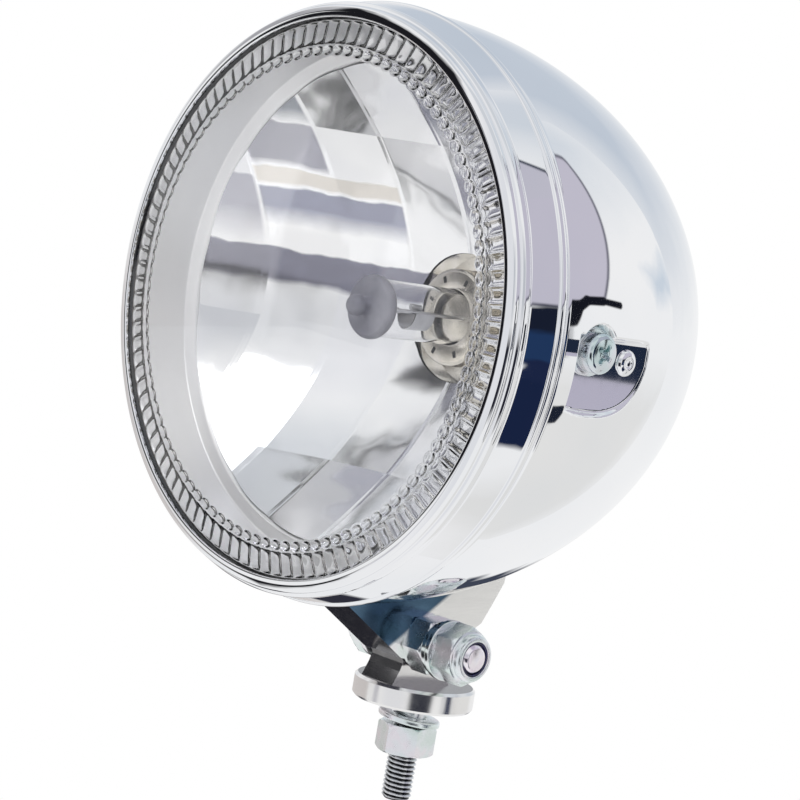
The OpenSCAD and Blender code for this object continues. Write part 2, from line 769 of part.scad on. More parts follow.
module lock_nut_ring() {
    color([0.07, 0.08, 0.16]) at_pivot() along_x(x_lock + lock_hex_h - 0.5)
        ring(nylon_r - 0.02, bolt_r + 0.02, lock_collar_h + 0.2);
}

module cable_grommet() {
    in_s = dome_pt(acos((cable_hole_r + grommet_lip) / (shell_r - shell_wall)), -shell_wall)[1] - 5 * fit;
    color([0.06, 0.06, 0.06]) lamp() rotate_extrude() polygon([
        [grommet_bore_r, in_s - grommet_t],
        [cable_hole_r + grommet_lip, in_s - grommet_t],
        [cable_hole_r + grommet_lip, in_s],
        [cable_hole_r - 4 * fit, in_s],
        [cable_hole_r - 4 * fit, pole_s + 3 * fit],
        [cable_hole_r + grommet_lip, pole_s + 3 * fit],
        [cable_hole_r + grommet_lip - 1, pole_s + grommet_t + 0.8],
        [grommet_bore_r, pole_s + grommet_t + 0.8]
    ]);
}

// foot: a cast disc with a flared lug, its stud, washer and nut
module foot() {
    neck = lug_r * 0.78;
    h = pivot_z - seat_z;
    color([0.82, 0.82, 0.84]) difference() {
        union() {
            translate([0, 0, seat_z]) rotate_extrude() polygon([
                [0, 0],
                [foot_r - foot_edge, 0],
                [foot_r, foot_edge],
                [foot_r, foot_t - foot_edge],
                [foot_r - foot_edge, foot_t],
                [0, foot_t]
            ]);
            at_pivot() along_x(-lug_w / 2) cylinder(r = lug_r, h = lug_w);
            at_pivot() along_x(-lug_w / 2) rotate([0, 0, 90]) linear_extrude(height = lug_w) polygon([
                [-lug_r, 0],
                [-neck - 0.5, -h * 0.25],
                [-neck - 0.3, -h * 0.34],
                [-neck - 1.2, -h * 0.46],
                [-neck - 3.4, -h + foot_t],
                [-neck - 3.4, -h + 2],
                [pivot_out + lug_r + 1, -h + 2],
                [pivot_out + lug_r + 1, -h + foot_t],
                [neck + 4, -h * 0.46],
                [lug_r, -h * 0.2],
                [lug_r, 0]
            ]);
        }
        at_pivot() along_x(-lug_w / 2 - 1) cylinder(r = bolt_r + run_fit, h = lug_w + 2);
        translate([0, 0, seat_z - 1]) cylinder(r = stud_r + 0.02, h = stud_in + 1);
    }
}

module stud() {
    color([0.7, 0.71, 0.73]) union() {
        cylinder(r = stud_r, h = seat_z + stud_in);
        translate([0, 0, -stud_free + 1.2]) cylinder(r = stud_end_r, h = stud_free - 1.2 + eps);
        translate([0, 0, -stud_free]) cylinder(r1 = stud_end_r - 1.2, r2 = stud_end_r, h = 1.2);
    }
}

module foot_washer() {
    color([0.78, 0.79, 0.8]) translate([0, 0, nut_lift + foot_nut_h])
        ring(foot_washer_r, stud_r + 0.3, washer_t);
}

module foot_nut() {
    color([0.76, 0.78, 0.8]) translate([0, 0, nut_lift]) hex_nut(m10_af, foot_nut_h, stud_r + 0.04);
}

rim();
glass();
glass_gasket();
reflector();
unit_clips();
bulb_cup();
bulb_glass();
bulb_filaments();
bulb_base();
bulb_contacts();
bulb_clip();
dust_boot();
shell();
tab_nuts();
side_screws();
side_spring_washers();
side_flat_washers();
pocket_rivets();
bracket();
bracket_rivets();
pivot_bolt();
bolt_head_washer();
pivot_nut();
pivot_spring_washer();
pivot_flat_washer();
lock_nut();
lock_nut_ring();
cable_grommet();
foot();
stud();
foot_washer();
foot_nut();
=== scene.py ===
# %% [markdown]
# # A chrome motorcycle headlight
# The solid model of the lamp is loaded first and stays fixed. Every piece made below sits in the
# same place, in metres, and rides on one of its two moving bodies: the foot, or the lamp that tilts on it.

# %% Load the solid model
import math
from functools import partial

import bpy
import bmesh
from mathutils import Matrix, Vector


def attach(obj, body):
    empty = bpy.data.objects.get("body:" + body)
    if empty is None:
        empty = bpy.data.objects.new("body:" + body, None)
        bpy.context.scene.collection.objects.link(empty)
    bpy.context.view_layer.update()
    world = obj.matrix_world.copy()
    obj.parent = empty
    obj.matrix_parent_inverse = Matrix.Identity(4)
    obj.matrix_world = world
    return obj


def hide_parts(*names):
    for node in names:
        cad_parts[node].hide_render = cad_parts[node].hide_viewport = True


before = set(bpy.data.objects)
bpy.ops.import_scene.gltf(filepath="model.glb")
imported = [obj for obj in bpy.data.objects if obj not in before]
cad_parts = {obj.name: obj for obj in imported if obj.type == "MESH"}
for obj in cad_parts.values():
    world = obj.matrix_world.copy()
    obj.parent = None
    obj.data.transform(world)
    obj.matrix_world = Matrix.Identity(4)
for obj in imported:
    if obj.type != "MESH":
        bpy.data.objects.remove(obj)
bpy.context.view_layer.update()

# %% [markdown]
# ## The lamp's own measures
# The lamp is turned about an axis that points backwards, so most of its pieces are drawn as a
# profile of radius and depth. Depth 0 is the edge of the glass. The numbers are millimetres, as on
# a drawing, and one function turns a point of the lamp into metres in the shared frame.

# %% Places and scale
MM = 0.001
AXIS_UP = 144.0
FRONT_OUT = 75.8
PIVOT = Vector((0.0, -8.5, 39.4))
TURN = 2 * math.pi


def lamp_point(radius, depth, angle):
    return Vector((radius * math.cos(angle), depth - FRONT_OUT, AXIS_UP + radius * math.sin(angle))) * MM


print("glass edge plane at y =", -FRONT_OUT, "mm, lamp axis at z =", AXIS_UP, "mm")

# %% [markdown]
# ## The camera
# The lamp is seen from its front right, a little from above, with a long lens. A camera could be aimed
# by a tracking constraint, but the picture is rolled a little as well, so its directions are written out.

# %% Camera
scene = bpy.context.scene
camera_data = bpy.data.cameras.new("camera")
camera_data.sensor_width = 36.0
camera_data.lens = 112.5
camera_data.clip_start = 0.01
camera = bpy.data.objects.new("camera", camera_data)
scene.collection.objects.link(camera)
bpy.context.scene.camera = camera
right = Vector((0.6746, 0.7194, 0.1654)).normalized()
forward = Vector((-0.719, 0.6911, -0.0738)).normalized()
up = right.cross(forward).normalized()
right = forward.cross(up).normalized()
aim = Matrix((right, up, -forward)).transposed().to_4x4()
camera.matrix_world = Matrix.Translation((0.5709, -0.5768, 0.1744)) @ aim
print("camera at", tuple(round(v, 4) for v in camera.location))

# %% [markdown]
# ## Node helpers
# Finishes and the room are built from shader nodes. Placing each node by hand in code is long, so a few
# helpers place and link the kinds that come back often: sums, noise, colour mixes and node groups.

# %% Node helpers
FLOAT, COLOR, VECTOR = "NodeSocketFloat", "NodeSocketColor", "NodeSocketVector"
MIX_FACTOR, MIX_FIRST, MIX_SECOND, MIX_RESULT = 0, 6, 7, 2  # sockets of a Mix node that mixes colours


def numbers(*labels):
    return dict.fromkeys(labels, FLOAT)


def new_group(name, inputs, outputs):
    """A shader node group, the sockets that it reads and the sockets that it fills."""
    group = bpy.data.node_groups.new(name, "ShaderNodeTree")
    for in_out, sockets in (("INPUT", inputs), ("OUTPUT", outputs)):
        for label, kind in sockets.items():
            group.interface.new_socket(name=label, in_out=in_out, socket_type=kind)
    return group, group.nodes.new("NodeGroupInput").outputs, group.nodes.new("NodeGroupOutput").inputs


def use_group(tree, group, **values):
    node = tree.nodes.new("ShaderNodeGroup")
    node.node_tree = group
    for key, value in values.items():
        fill(tree, node.inputs[key.replace("_", " ")], value)
    return node.outputs


def fill(tree, socket, value):
    """Link a socket to another one, or write a plain value on it."""
    if isinstance(value, bpy.types.NodeSocket):
        tree.links.new(value, socket)
    else:
        socket.default_value = value


def math_node(tree, operation, first, second=None, clamp=False):
    node = tree.nodes.new("ShaderNodeMath")
    node.operation = operation
    node.use_clamp = clamp
    fill(tree, node.inputs[0], first)
    if second is not None:
        fill(tree, node.inputs[1], second)
    return node.outputs[0]


def noise_node(tree, vector, scale, detail=2.0, roughness=0.5):
    node = tree.nodes.new("ShaderNodeTexNoise")
    for label, value in (("Vector", vector), ("Scale", scale), ("Detail", detail), ("Roughness", roughness)):
        fill(tree, node.inputs[label], value)
    return node.outputs["Fac"]


def colour_mix(tree, factor, first, second):
    node = tree.nodes.new("ShaderNodeMix")
    node.data_type = "RGBA"
    for index, value in ((MIX_FACTOR, factor), (MIX_FIRST, first), (MIX_SECOND, second)):
        fill(tree, node.inputs[index], (*value, 1.0) if isinstance(value, tuple) else value)
    return node.outputs[MIX_RESULT]


def coordinate(tree, kind):
    return tree.nodes.new("ShaderNodeTexCoord").outputs[kind]


def xyz(tree, kind):
    """The three numbers of a texture coordinate."""
    parts = tree.nodes.new("ShaderNodeSeparateXYZ")
    tree.links.new(coordinate(tree, kind), parts.inputs[0])
    return parts.outputs


print("node helpers ready")

# %% [markdown]
# ## The studio
# Polished chrome has almost no colour of its own: it shows the room. A lamp like this is
# photographed in a white tent, and what gives the metal its form is the little that isn't white:
# the dark opening that the camera looks through, and a lilac-grey screen beside it. The room could be
# built from real screens, but then each would need a place and an aim. It is quicker to make the world
# white and to draw soft-edged screens on it by direction. Each screen is a range of compass angle and
# height, and one group of nodes makes its mask.

# %% World group: the mask of one screen
screen, screen_in, screen_out = new_group(
    "studio screen",
    numbers("Angle", "Height", "Angle middle", "Angle half", "Height middle", "Height half", "Lean", "Soft"),
    numbers("Mask"))
calc = partial(math_node, screen)
along = calc("SUBTRACT", screen_in["Angle"], screen_in["Angle middle"])
rise = calc("SUBTRACT", screen_in["Height"], screen_in["Height middle"])
along = calc("SUBTRACT", along, calc("MULTIPLY", rise, screen_in["Lean"]))
within_side = calc("SUBTRACT", screen_in["Angle half"], calc("ABSOLUTE", along))
within_height = calc("SUBTRACT", screen_in["Height half"], calc("ABSOLUTE", rise))
edge = calc("DIVIDE", calc("MINIMUM", within_side, within_height), screen_in["Soft"])
screen.links.new(calc("ADD", edge, 0.5, clamp=True), screen_out["Mask"])
print("screen group has", len(screen.nodes), "nodes")

# %% [markdown]
# Some dark marks in the chrome are thin and rounded, like a bent arm of a stand. A screen has square
# corners, so those are drawn as strokes instead: the mask is the distance to a short straight line.

# %% World group: the mask of one rounded stroke
stroke, stroke_in, stroke_out = new_group(
    "studio stroke",
    numbers("Angle", "Height", "Start angle", "Start height", "Run", "Climb", "Half width", "Soft"),
    numbers("Mask"))
calc = partial(math_node, stroke)
run, climb = stroke_in["Run"], stroke_in["Climb"]
off_side = calc("SUBTRACT", stroke_in["Angle"], stroke_in["Start angle"])
off_up = calc("SUBTRACT", stroke_in["Height"], stroke_in["Start height"])
dot = calc("ADD", calc("MULTIPLY", off_side, run), calc("MULTIPLY", off_up, climb))
length = calc("ADD", calc("MULTIPLY", run, run), calc("MULTIPLY", climb, climb))
share = calc("DIVIDE", dot, length, clamp=True)
off_side = calc("SUBTRACT", off_side, calc("MULTIPLY", share, run))
off_up = calc("SUBTRACT", off_up, calc("MULTIPLY", share, climb))
away = calc("SQRT", calc("ADD", calc("MULTIPLY", off_side, off_side), calc("MULTIPLY", off_up, off_up)))
edge = calc("DIVIDE", calc("SUBTRACT", stroke_in["Half width"], away), stroke_in["Soft"])
stroke.links.new(calc("ADD", edge, 0.5, clamp=True), stroke_out["Mask"])
print("stroke group has", len(stroke.nodes), "nodes")

# %% [markdown]
# Angles are degrees round the lamp from its front, to the right, and heights are degrees above the
# horizon. Screens are hung by hand, so the edges of all but the sharpest waver by about a degree. Later
# entries lie over earlier ones. Only the camera sees plain white in place of the room.

# %% World: white room, dark opening and lilac screens
DEGREES = 180 / math.pi
WAVER = 5.0
SHARP = 0.9  # a softness up to this keeps straight edges
STROKE_SOFT = 0.4
FLAG, HOOK = (0.012, 0.012, 0.015), (0.008, 0.009, 0.015)
SCREENS = [
    # name, angle from-to, height from-to, lean, softness, colour
    ("grey sky", -180, -115, 14, 75, 0.0, 26.0, (0.56, 0.62, 0.70)),
    ("grey sky behind", 140, 180, 34, 80, 0.0, 26.0, (0.66, 0.71, 0.77)),
    ("grey overhead", -115, 110, 52, 90, 0.0, 14.0, (0.66, 0.69, 0.73)),
    ("warm floor side", -140, -52, -26, -2, 0.0, 6.0, (0.64, 0.61, 0.60)),
    ("warm floor behind", 128, 180, -60, -7, 0.0, 10.0, (0.80, 0.80, 0.79)),
    ("lilac left", -34, -24, -32, 30, 0.0, 6.0, (0.50, 0.50, 0.55)),
    ("grey upper left", -86, -60, 8, 32, 0.0, 10.0, (0.40, 0.40, 0.42)),
    ("black flag high", -62, -25, 13, 34, 0.0, 4.0, FLAG),
    ("black flag middle", -50.6, -36, -6, 15, 0.0, 0.9, FLAG),
    ("black flag low", -64, -38, -36, -16, 0.0, 4.0, FLAG),
    ("grey front wall", -14, 32, -50, 44, 0.0, 16.0, (0.80, 0.81, 0.84)),
    ("opening", 40, 82, -27, -1, 0.0, 7.0, (0.02, 0.022, 0.035)),
    ("camera side", 38, 76, 4, 26, 0.0, 12.0, (0.55, 0.57, 0.61)),
    ("dark table", -138, -104, -40, -26, 0.2, 2.5, (0.03, 0.03, 0.045)),
    ("dark streak", -146, -136, -30, -11, 0.5, 2.0, (0.05, 0.06, 0.09)),
    ("lilac band edge", 102, 132, 42, 55.5, 0.0, 0.8, (0.04, 0.05, 0.08)),
    ("lilac screen edge", 96, 157, 9.6, 43, 0.57, 0.8, (0.16, 0.16, 0.20)),
    ("lilac band", 100, 131, 36, 54.0, 0.0, 0.8, (0.55, 0.54, 0.62)),
    ("lilac screen", 96, 156, 10.6, 42, 0.57, 0.8, (0.56, 0.54, 0.63)),
    ("navy strip top", 102, 125, -8.0, 9.0, 0.2, 1.6, (0.010, 0.014, 0.03)),
    ("navy strip", 105, 119, -8.5, 2.0, 0.3, 2.0, (0.016, 0.04, 0.11)),
    ("navy strip narrow", 110.5, 123, -15, -7, 0.0, 1.0, (0.012, 0.02, 0.06)),
    ("navy strip low", 106, 124, -34, -13, 0.35, 1.8, (0.010, 0.018, 0.055)),
    ("pocket side", 130, 137.4, -4.5, 3, 0.0, 0.5, (0.012, 0.016, 0.03)),
    ("pocket dark", 137.2, 140.2, -3.0, 0.5, 0.0, 0.05, (0.014, 0.022, 0.045)),
    ("pocket lilac", 137.2, 140.2, -3.9, -3.0, 0.0, 0.05, (0.48, 0.46, 0.56)),
    ("blue arc", 170, 180, 8, 14, -0.6, 5.0, (0.62, 0.69, 0.77)),
]
STROKES = [
    # name, points as angle and height, half width, colour
    ("hook leg", ((134.6, -8.0), (135.8, 1.0), (137.2, 7.0)), 1.1, HOOK),
    ("hook", ((136.8, 5.0), (138.6, 9.0), (141.2, 10.5)), 1.4, HOOK),
    ("hook middle", ((141.2, 10.6), (147.0, 10.2)), 1.1, HOOK),
    ("hook end", ((147.0, 10.2), (153.4, 8.9)), 0.8, HOOK),
    ("low spot", ((141.2, -18.0), (141.0, -29.5)), 1.2, (0.012, 0.016, 0.03)),
]

scene.view_settings.view_transform = "Standard"
world = bpy.data.worlds.new("studio")
scene.world = world
world.use_nodes = True
room_tree = world.node_tree
room_tree.nodes.clear()
calc = partial(math_node, room_tree)
to_right, to_back, to_top = xyz(room_tree, "Generated")
angle = calc("MULTIPLY", calc("ARCTAN2", to_right, calc("MULTIPLY", to_back, -1.0)), DEGREES)
height = calc("MULTIPLY", calc("ARCSINE", to_top), DEGREES)


def wavering(value, scale):
    drifted = calc("SUBTRACT", noise_node(room_tree, coordinate(room_tree, "Generated"), scale), 0.5)
    return calc("ADD", value, calc("MULTIPLY", drifted, WAVER))


angle_wavy, height_wavy = wavering(angle, 9.0), wavering(height, 12.0)
room = (0.92, 0.925, 0.93)
for _, a0, a1, h0, h1, lean, soft, tint in SCREENS:
    wavy = soft > SHARP
    mask = use_group(
        room_tree, screen, Angle=angle_wavy if wavy else angle, Height=height_wavy if wavy else height,
        Angle_middle=(a0 + a1) / 2, Angle_half=(a1 - a0) / 2, Height_middle=(h0 + h1) / 2,
        Height_half=(h1 - h0) / 2, Lean=lean, Soft=soft)["Mask"]
    room = colour_mix(room_tree, mask, room, tint)
for _, points, half_width, tint in STROKES:
    for (a0, h0), (a1, h1) in zip(points, points[1:]):
        mask = use_group(
            room_tree, stroke, Angle=angle, Height=height, Start_angle=a0, Start_height=h0, Run=a1 - a0,
            Climb=h1 - h0, Half_width=half_width, Soft=STROKE_SOFT)["Mask"]
        room = colour_mix(room_tree, mask, room, tint)

camera_ray = room_tree.nodes.new("ShaderNodeLightPath").outputs["Is Camera Ray"]
background = room_tree.nodes.new("ShaderNodeBackground")
room_tree.links.new(colour_mix(room_tree, camera_ray, room, (1.0, 1.0, 1.0)), background.inputs["Color"])
room_out = room_tree.nodes.new("ShaderNodeOutputWorld")
room_tree.links.new(background.outputs[0], room_out.inputs["Surface"])
print("studio screens:", len(SCREENS), "and strokes:", len(STROKES))

# %% [markdown]
# ## Floor and soft lamp
# The floor is a plain pale sheet below the stud. More light would turn it white too, but that light would
# also wash out the lamp. So it is white only where the camera looks at it, also through glass, and an
# ordinary pale surface for all other light, which it throws back up under the lamp. One large soft lamp
# from above keeps the light gentle.

# %% Floor and lamp
FLOOR_Z, FLOOR_HALF = -0.2, 3
LAMP_PLACE, LAMP_FROM = Vector((0.5, -0.5, 1.1)), Vector((0.5, -0.5, 1.0))
floor_mesh = bpy.data.meshes.new("floor")
floor_corners = [(FLOOR_HALF * x, FLOOR_HALF * y, FLOOR_Z) for x, y in ((-1, -1), (1, -1), (1, 1), (-1, 1))]
floor_mesh.from_pydata(floor_corners, [], [(0, 1, 2, 3)])
floor = bpy.data.objects.new("floor", floor_mesh)
scene.collection.objects.link(floor)
floor_material = bpy.data.materials.new("pale floor")
floor_material.use_nodes = True
tree = floor_material.node_tree
tree.nodes.clear()
path = tree.nodes.new("ShaderNodeLightPath").outputs
looks = math_node(tree, "MAXIMUM", path["Is Camera Ray"], path["Is Transmission Ray"])
glow = tree.nodes.new("ShaderNodeEmission")
glow.inputs["Color"].default_value = (1, 1, 1, 1)
matt = tree.nodes.new("ShaderNodeBsdfDiffuse")
matt.inputs["Color"].default_value = (0.86, 0.86, 0.86, 1)
both = tree.nodes.new("ShaderNodeMixShader")
for index, source in enumerate((looks, matt.outputs[0], glow.outputs[0])):
    tree.links.new(source, both.inputs[index])
tree.links.new(both.outputs[0], tree.nodes.new("ShaderNodeOutputMaterial").inputs["Surface"])
floor.data.materials.append(floor_material)
floor.visible_glossy = False

lamp_data = bpy.data.lights.new("soft lamp", "AREA")
lamp_data.shape = "SQUARE"
lamp_data.size = 0.9
lamp_data.energy = 4.0
soft_lamp = bpy.data.objects.new("soft lamp", lamp_data)
lamp_aim = LAMP_FROM.to_track_quat("Z", "Y").to_matrix().to_4x4()
soft_lamp.matrix_world = Matrix.Translation(LAMP_PLACE) @ lamp_aim
soft_lamp.visible_glossy = False
soft_lamp.visible_camera = False
scene.collection.objects.link(soft_lamp)
print("floor at z =", FLOOR_Z, "m, lamp of", lamp_data.energy, "W")

# %% [markdown]
# ## Shared surface effects
# Even good plating isn't a perfect mirror. It has a very slight waviness, which bends straight
# reflections a little, and fine wiping marks, which blur some places more than others. Both could be
# added to each material by hand. They are made once, as a node group, and each finish places the group
# with its own values.

# %% Group: waviness and wiping marks
plating, plating_in, plating_out = new_group(
    "plating marks", numbers("Wave scale", "Mark scale", "Base roughness", "Mark amount"),
    numbers("Roughness", "Height"))
place = coordinate(plating, "Object")
plating.links.new(noise_node(plating, place, plating_in["Wave scale"], 1.0), plating_out["Height"])
marks = noise_node(plating, place, plating_in["Mark scale"], 4.0, 0.6)
marks = math_node(plating, "SUBTRACT", marks, 0.5, clamp=True)
marks = math_node(plating, "MULTIPLY", marks, plating_in["Mark amount"])
rough = math_node(plating, "ADD", marks, plating_in["Base roughness"])
plating.links.new(rough, plating_out["Roughness"])
print("group:", plating.name)

# %% [markdown]
# Sheet that was brushed before it was plated keeps fine parallel lines. They are noise that is
# squeezed in one direction, so the bracket's finish can say which way its lines run.

# %% Group: brushed lines
brushed, brushed_in, brushed_out = new_group(
    "brushed lines", {"Along": VECTOR, "Scale": FLOAT}, numbers("Height"))
stretch = brushed.nodes.new("ShaderNodeVectorMath")
stretch.operation = "MULTIPLY"
brushed.links.new(coordinate(brushed, "Object"), stretch.inputs[0])
brushed.links.new(brushed_in["Along"], stretch.inputs[1])
lines = noise_node(brushed, stretch.outputs[0], brushed_in["Scale"], 3.0, 0.65)
brushed.links.new(lines, brushed_out["Height"])
print("group:", brushed.name)

# %% [markdown]
# No real surface has one colour all over. Zinc plating drifts between faint green, white and pink, and
# chrome between cooler and warmer greys. This group drifts slowly between three tints.

# %% Group: tint that drifts between three colours
drift, drift_in, drift_out = new_group(
    "tint drift", {"Scale": FLOAT, "First": COLOR, "Second": COLOR, "Third": COLOR}, {"Color": COLOR})
calc = partial(math_node, drift)
slow = noise_node(drift, coordinate(drift, "Object"), drift_in["Scale"])
slow = calc("MULTIPLY", calc("SUBTRACT", slow, 0.35), 3.3, clamp=True)
low_half = calc("MULTIPLY", slow, 2.0, clamp=True)
top_half = calc("MULTIPLY", calc("SUBTRACT", slow, 0.5), 2.0, clamp=True)
tone = colour_mix(drift, low_half, drift_in["First"], drift_in["Second"])
drift.links.new(colour_mix(drift, top_half, tone, drift_in["Third"]), drift_out["Color"])
print("group:", drift.name)

# %% [markdown]
# The reflector is a bowl of many small mirrors, and each facet shows its own piece of the room. Tracing
# that truly would need the whole street in front of the lamp, so the bowl's finish carries painted
# reflections: grey bands with slightly wavy edges, each kept inside its facets. This group makes one band's
# mask.

# %% Group: painted reflection band in the mirror
BAND_WAVE, BAND_SIDE = 0.0032, 0.0007
painted_band, painted_band_in, painted_band_out = new_group(
    "painted reflection band", numbers("Low", "High", "Left", "Right", "Fade"), numbers("Mask"))
calc = partial(math_node, painted_band)
across, _, level = xyz(painted_band, "Object")
ripple = calc("SUBTRACT", noise_node(painted_band, coordinate(painted_band, "Object"), 90.0), 0.5)
level = calc("ADD", level, calc("MULTIPLY", ripple, BAND_WAVE))
limits = [(calc("SUBTRACT", level, painted_band_in["Low"]), painted_band_in["Fade"]),
          (calc("SUBTRACT", painted_band_in["High"], level), BAND_SIDE),
          (calc("SUBTRACT", across, painted_band_in["Left"]), BAND_SIDE),
          (calc("SUBTRACT", painted_band_in["Right"], across), BAND_SIDE)]
mask = 1.0
for past, fade in limits:
    mask = calc("MULTIPLY", calc("DIVIDE", past, fade, clamp=True), mask)
painted_band.links.new(mask, painted_band_out["Mask"])
print("group:", painted_band.name)

# %% [markdown]
# ## Finishes
# Metal, rubber and plastic share one recipe: a tint that drifts, plating marks in the roughness, and a
# slight waviness as bump. A finish is then one line of values. The main shader stays in the material
# itself, with every plain number on its own socket, so that other programs can read it.

# %% Material helpers
def plain(name, color, metallic=0.0, roughness=0.3, **sockets):
    material = bpy.data.materials.new(name)
    material.use_nodes = True
    tree = material.node_tree
    shader = tree.nodes["Principled BSDF"].inputs
    shader["Base Color"].default_value = (*color, 1.0)
    shader["Metallic"].default_value = metallic
    shader["Roughness"].default_value = roughness
    for key, value in sockets.items():
        shader[key.replace("_", " ")].default_value = value
    return material, tree, shader


def drifting(tree, scale, tints):
    first, second, third = [(*tint, 1.0) for tint in tints]
    return use_group(tree, drift, Scale=scale, First=first, Second=second, Third=third)["Color"]


def plated(tree, wave, mark, rough, marks):
    return use_group(tree, plating, Wave_scale=wave, Mark_scale=mark, Base_roughness=rough, Mark_amount=marks)


def bump(tree, shader, height, strength, distance):
    node = tree.nodes.new("ShaderNodeBump")
    for label, value in (("Strength", strength), ("Distance", distance), ("Height", height)):
        fill(tree, node.inputs[label], value)
    tree.links.new(node.outputs["Normal"], shader["Normal"])


def finish(name, tints, metallic, tint_scale, rough, wave, mark, amount, strength, depth):
    """A finish with a drifting tint, plating marks and waviness."""
    material, tree, shader = plain(name, tints[1], metallic, rough)
    tree.links.new(drifting(tree, tint_scale, tints), shader["Base Color"])
    surface = plated(tree, wave, mark, rough, amount)
    tree.links.new(surface["Roughness"], shader["Roughness"])
    bump(tree, shader, surface["Height"], strength, depth)
    return material


def tint_over(material, mask, tint):
    """Lay one more tint over a finish where the mask says so."""
    tree = material.node_tree
    base = tree.nodes["Principled BSDF"].inputs["Base Color"]
    tree.links.new(colour_mix(tree, mask, base.links[0].from_socket, tint), base)


def chrome(name, tints, wave=30.0, depth=0.00004, rough=0.025, marks=0.05, metallic=1.0):
    return finish(name, tints, metallic, 25.0, rough, wave, 220.0, marks, 0.5, depth)


def zinc(name, tints, rough=0.14, scale=140.0):
    return finish(name, tints, 1.0, scale, rough, 250.0, 500.0, 0.25, 0.5, 0.00006)


def soft_black(name, tints, rough, scale, depth):
    return finish(name, tints, 0.0, scale, rough, scale * 8, scale * 4, 0.3, 0.6, depth)


print("finish helpers ready")

# %% [markdown]
# The rim and shell are plated alike, but the shell's large dome was buffed flatter, so its waves are
# longer. The foot is a casting in a slightly warmer nickel tone, and its upper faces are painted darker
# than its polished side, a painted shade. Those faces could have a material of their own, but a mask from the
# surface's direction does the same on one mesh.

# %% Chrome of the rim, shell and foot
rim_chrome = chrome("rim chrome", ((0.86, 0.87, 0.89), (0.88, 0.885, 0.9), (0.9, 0.9, 0.915)))
shell_chrome = chrome("shell chrome", ((0.88, 0.89, 0.91), (0.9, 0.905, 0.92), (0.92, 0.92, 0.93)), wave=16.0)
foot_chrome = chrome("foot chrome", ((0.84, 0.83, 0.83), (0.87, 0.86, 0.85), (0.9, 0.89, 0.88)),
                     wave=70.0, rough=0.17, marks=0.15)
calc = partial(math_node, foot_chrome.node_tree)
# painted shade: faces of the foot that look up are painted dark
faces_up = xyz(foot_chrome.node_tree, "Normal")["Z"]
painted_upward_shade = calc("MULTIPLY", calc("SUBTRACT", faces_up, 0.75), 5.0, clamp=True)
tint_over(foot_chrome, painted_upward_shade, (0.16, 0.155, 0.155))
print("chrome finishes: 3")

# %% [markdown]
# The bowl is a bright mirror, and the tapered wall in front of it has a paler, softer coat. Left alone,
# the mirror would show little but the white room, so painted reflections, as bands, are laid over it one by
# one.
# Each is kept between two heights and two column lines of the bowl, in metres in the shared frame.

# %% Mirror of the reflector with painted reflections, and coat of its wall
PAINTED_REFLECTIONS = [
    # low, high, left, right, fade at the low edge, tint
    (0.1445, 0.1565, -0.076, -0.0060, 0.002, (0.27, 0.27, 0.33)),
    (0.1640, 0.1765, -0.0624, -0.0234, 0.006, (0.36, 0.37, 0.45)),
    (0.1768, 0.1825, -0.0624, -0.0234, 0.001, (0.74, 0.71, 0.67)),
    (0.1828, 0.1970, -0.0624, -0.0430, 0.002, (0.42, 0.42, 0.47)),
    (0.1970, 0.2120, -0.0624, -0.0430, 0.004, (0.30, 0.32, 0.36)),
    (0.1560, 0.1790, -0.076, -0.0624, 0.012, (0.50, 0.50, 0.56)),
]
mirror_coat = chrome("reflector mirror", ((0.89, 0.895, 0.92), (0.925, 0.93, 0.94), (0.95, 0.95, 0.96)),
                     wave=45.0, depth=0.0011, rough=0.08, marks=0.1)
# painted reflections: each band is a tint laid into the mirror's base colour
for low, high, left, right, fade, tint in PAINTED_REFLECTIONS:
    painted_reflection = use_group(mirror_coat.node_tree, painted_band, Low=low, High=high, Left=left, Right=right, Fade=fade)
    tint_over(mirror_coat, painted_reflection["Mask"], tint)
wall_coat = chrome("reflector wall coat", ((0.95, 0.95, 0.965), (0.965, 0.965, 0.975), (0.98, 0.98, 0.98)),
                   wave=50.0, depth=0.0001, rough=0.3, marks=0.2, metallic=0.6)
print("mirror bands:", len(PAINTED_REFLECTIONS))

# %% [markdown]
# The bracket is brushed sheet. It carries painted reflections: blue towards its front edge and white towards
# its rear one, and the two tones meet on a slanted line. Its sloping front plate, whose faces look forwards,
# has painted shade. Real screens could give the same tones, but they would tint the chrome as well, so the
# sheet carries them.

# %% Sheet of the bracket, with painted reflections and painted shade
MEET_Y, MEET_Z, MEET_SLANT = 0.0022, 0.0534, 1.35
bracket_chrome, tree, shader = plain("bracket sheet", (0.72, 0.78, 0.86), metallic=1.0, roughness=0.2)
calc = partial(math_node, tree)
bump(tree, shader, use_group(tree, brushed, Along=(1.0, 0.2, 1.0), Scale=300.0)["Height"], 0.25, 0.00008)
tree.links.new(plated(tree, 60.0, 300.0, 0.16, 0.25)["Roughness"], shader["Roughness"])
# painted reflection: blue towards the front edge, white towards the rear, split on a slanted line
_, back, up = xyz(tree, "Object")
slant = calc("MULTIPLY", calc("SUBTRACT", up, MEET_Z), MEET_SLANT)
behind = calc("SUBTRACT", calc("ADD", back, MEET_Y), slant)
painted_white_reflection = calc("ADD", calc("DIVIDE", behind, 0.0022), 0.5, clamp=True)
painted_blue_reflection = drifting(tree, 70.0, ((0.05, 0.10, 0.16), (0.07, 0.13, 0.20), (0.10, 0.18, 0.27)))
tree.links.new(colour_mix(tree, painted_white_reflection, painted_blue_reflection, (0.93, 0.92, 0.90)), shader["Base Color"])
# painted shade: faces that look forwards are painted dark
painted_front_shade = calc("SUBTRACT", calc("MULTIPLY", xyz(tree, "Normal")["Y"], -1.0), 0.4)
tint_over(bracket_chrome, calc("MULTIPLY", painted_front_shade, 8.0, clamp=True), (0.05, 0.05, 0.065))
print("finish:", bracket_chrome.name)
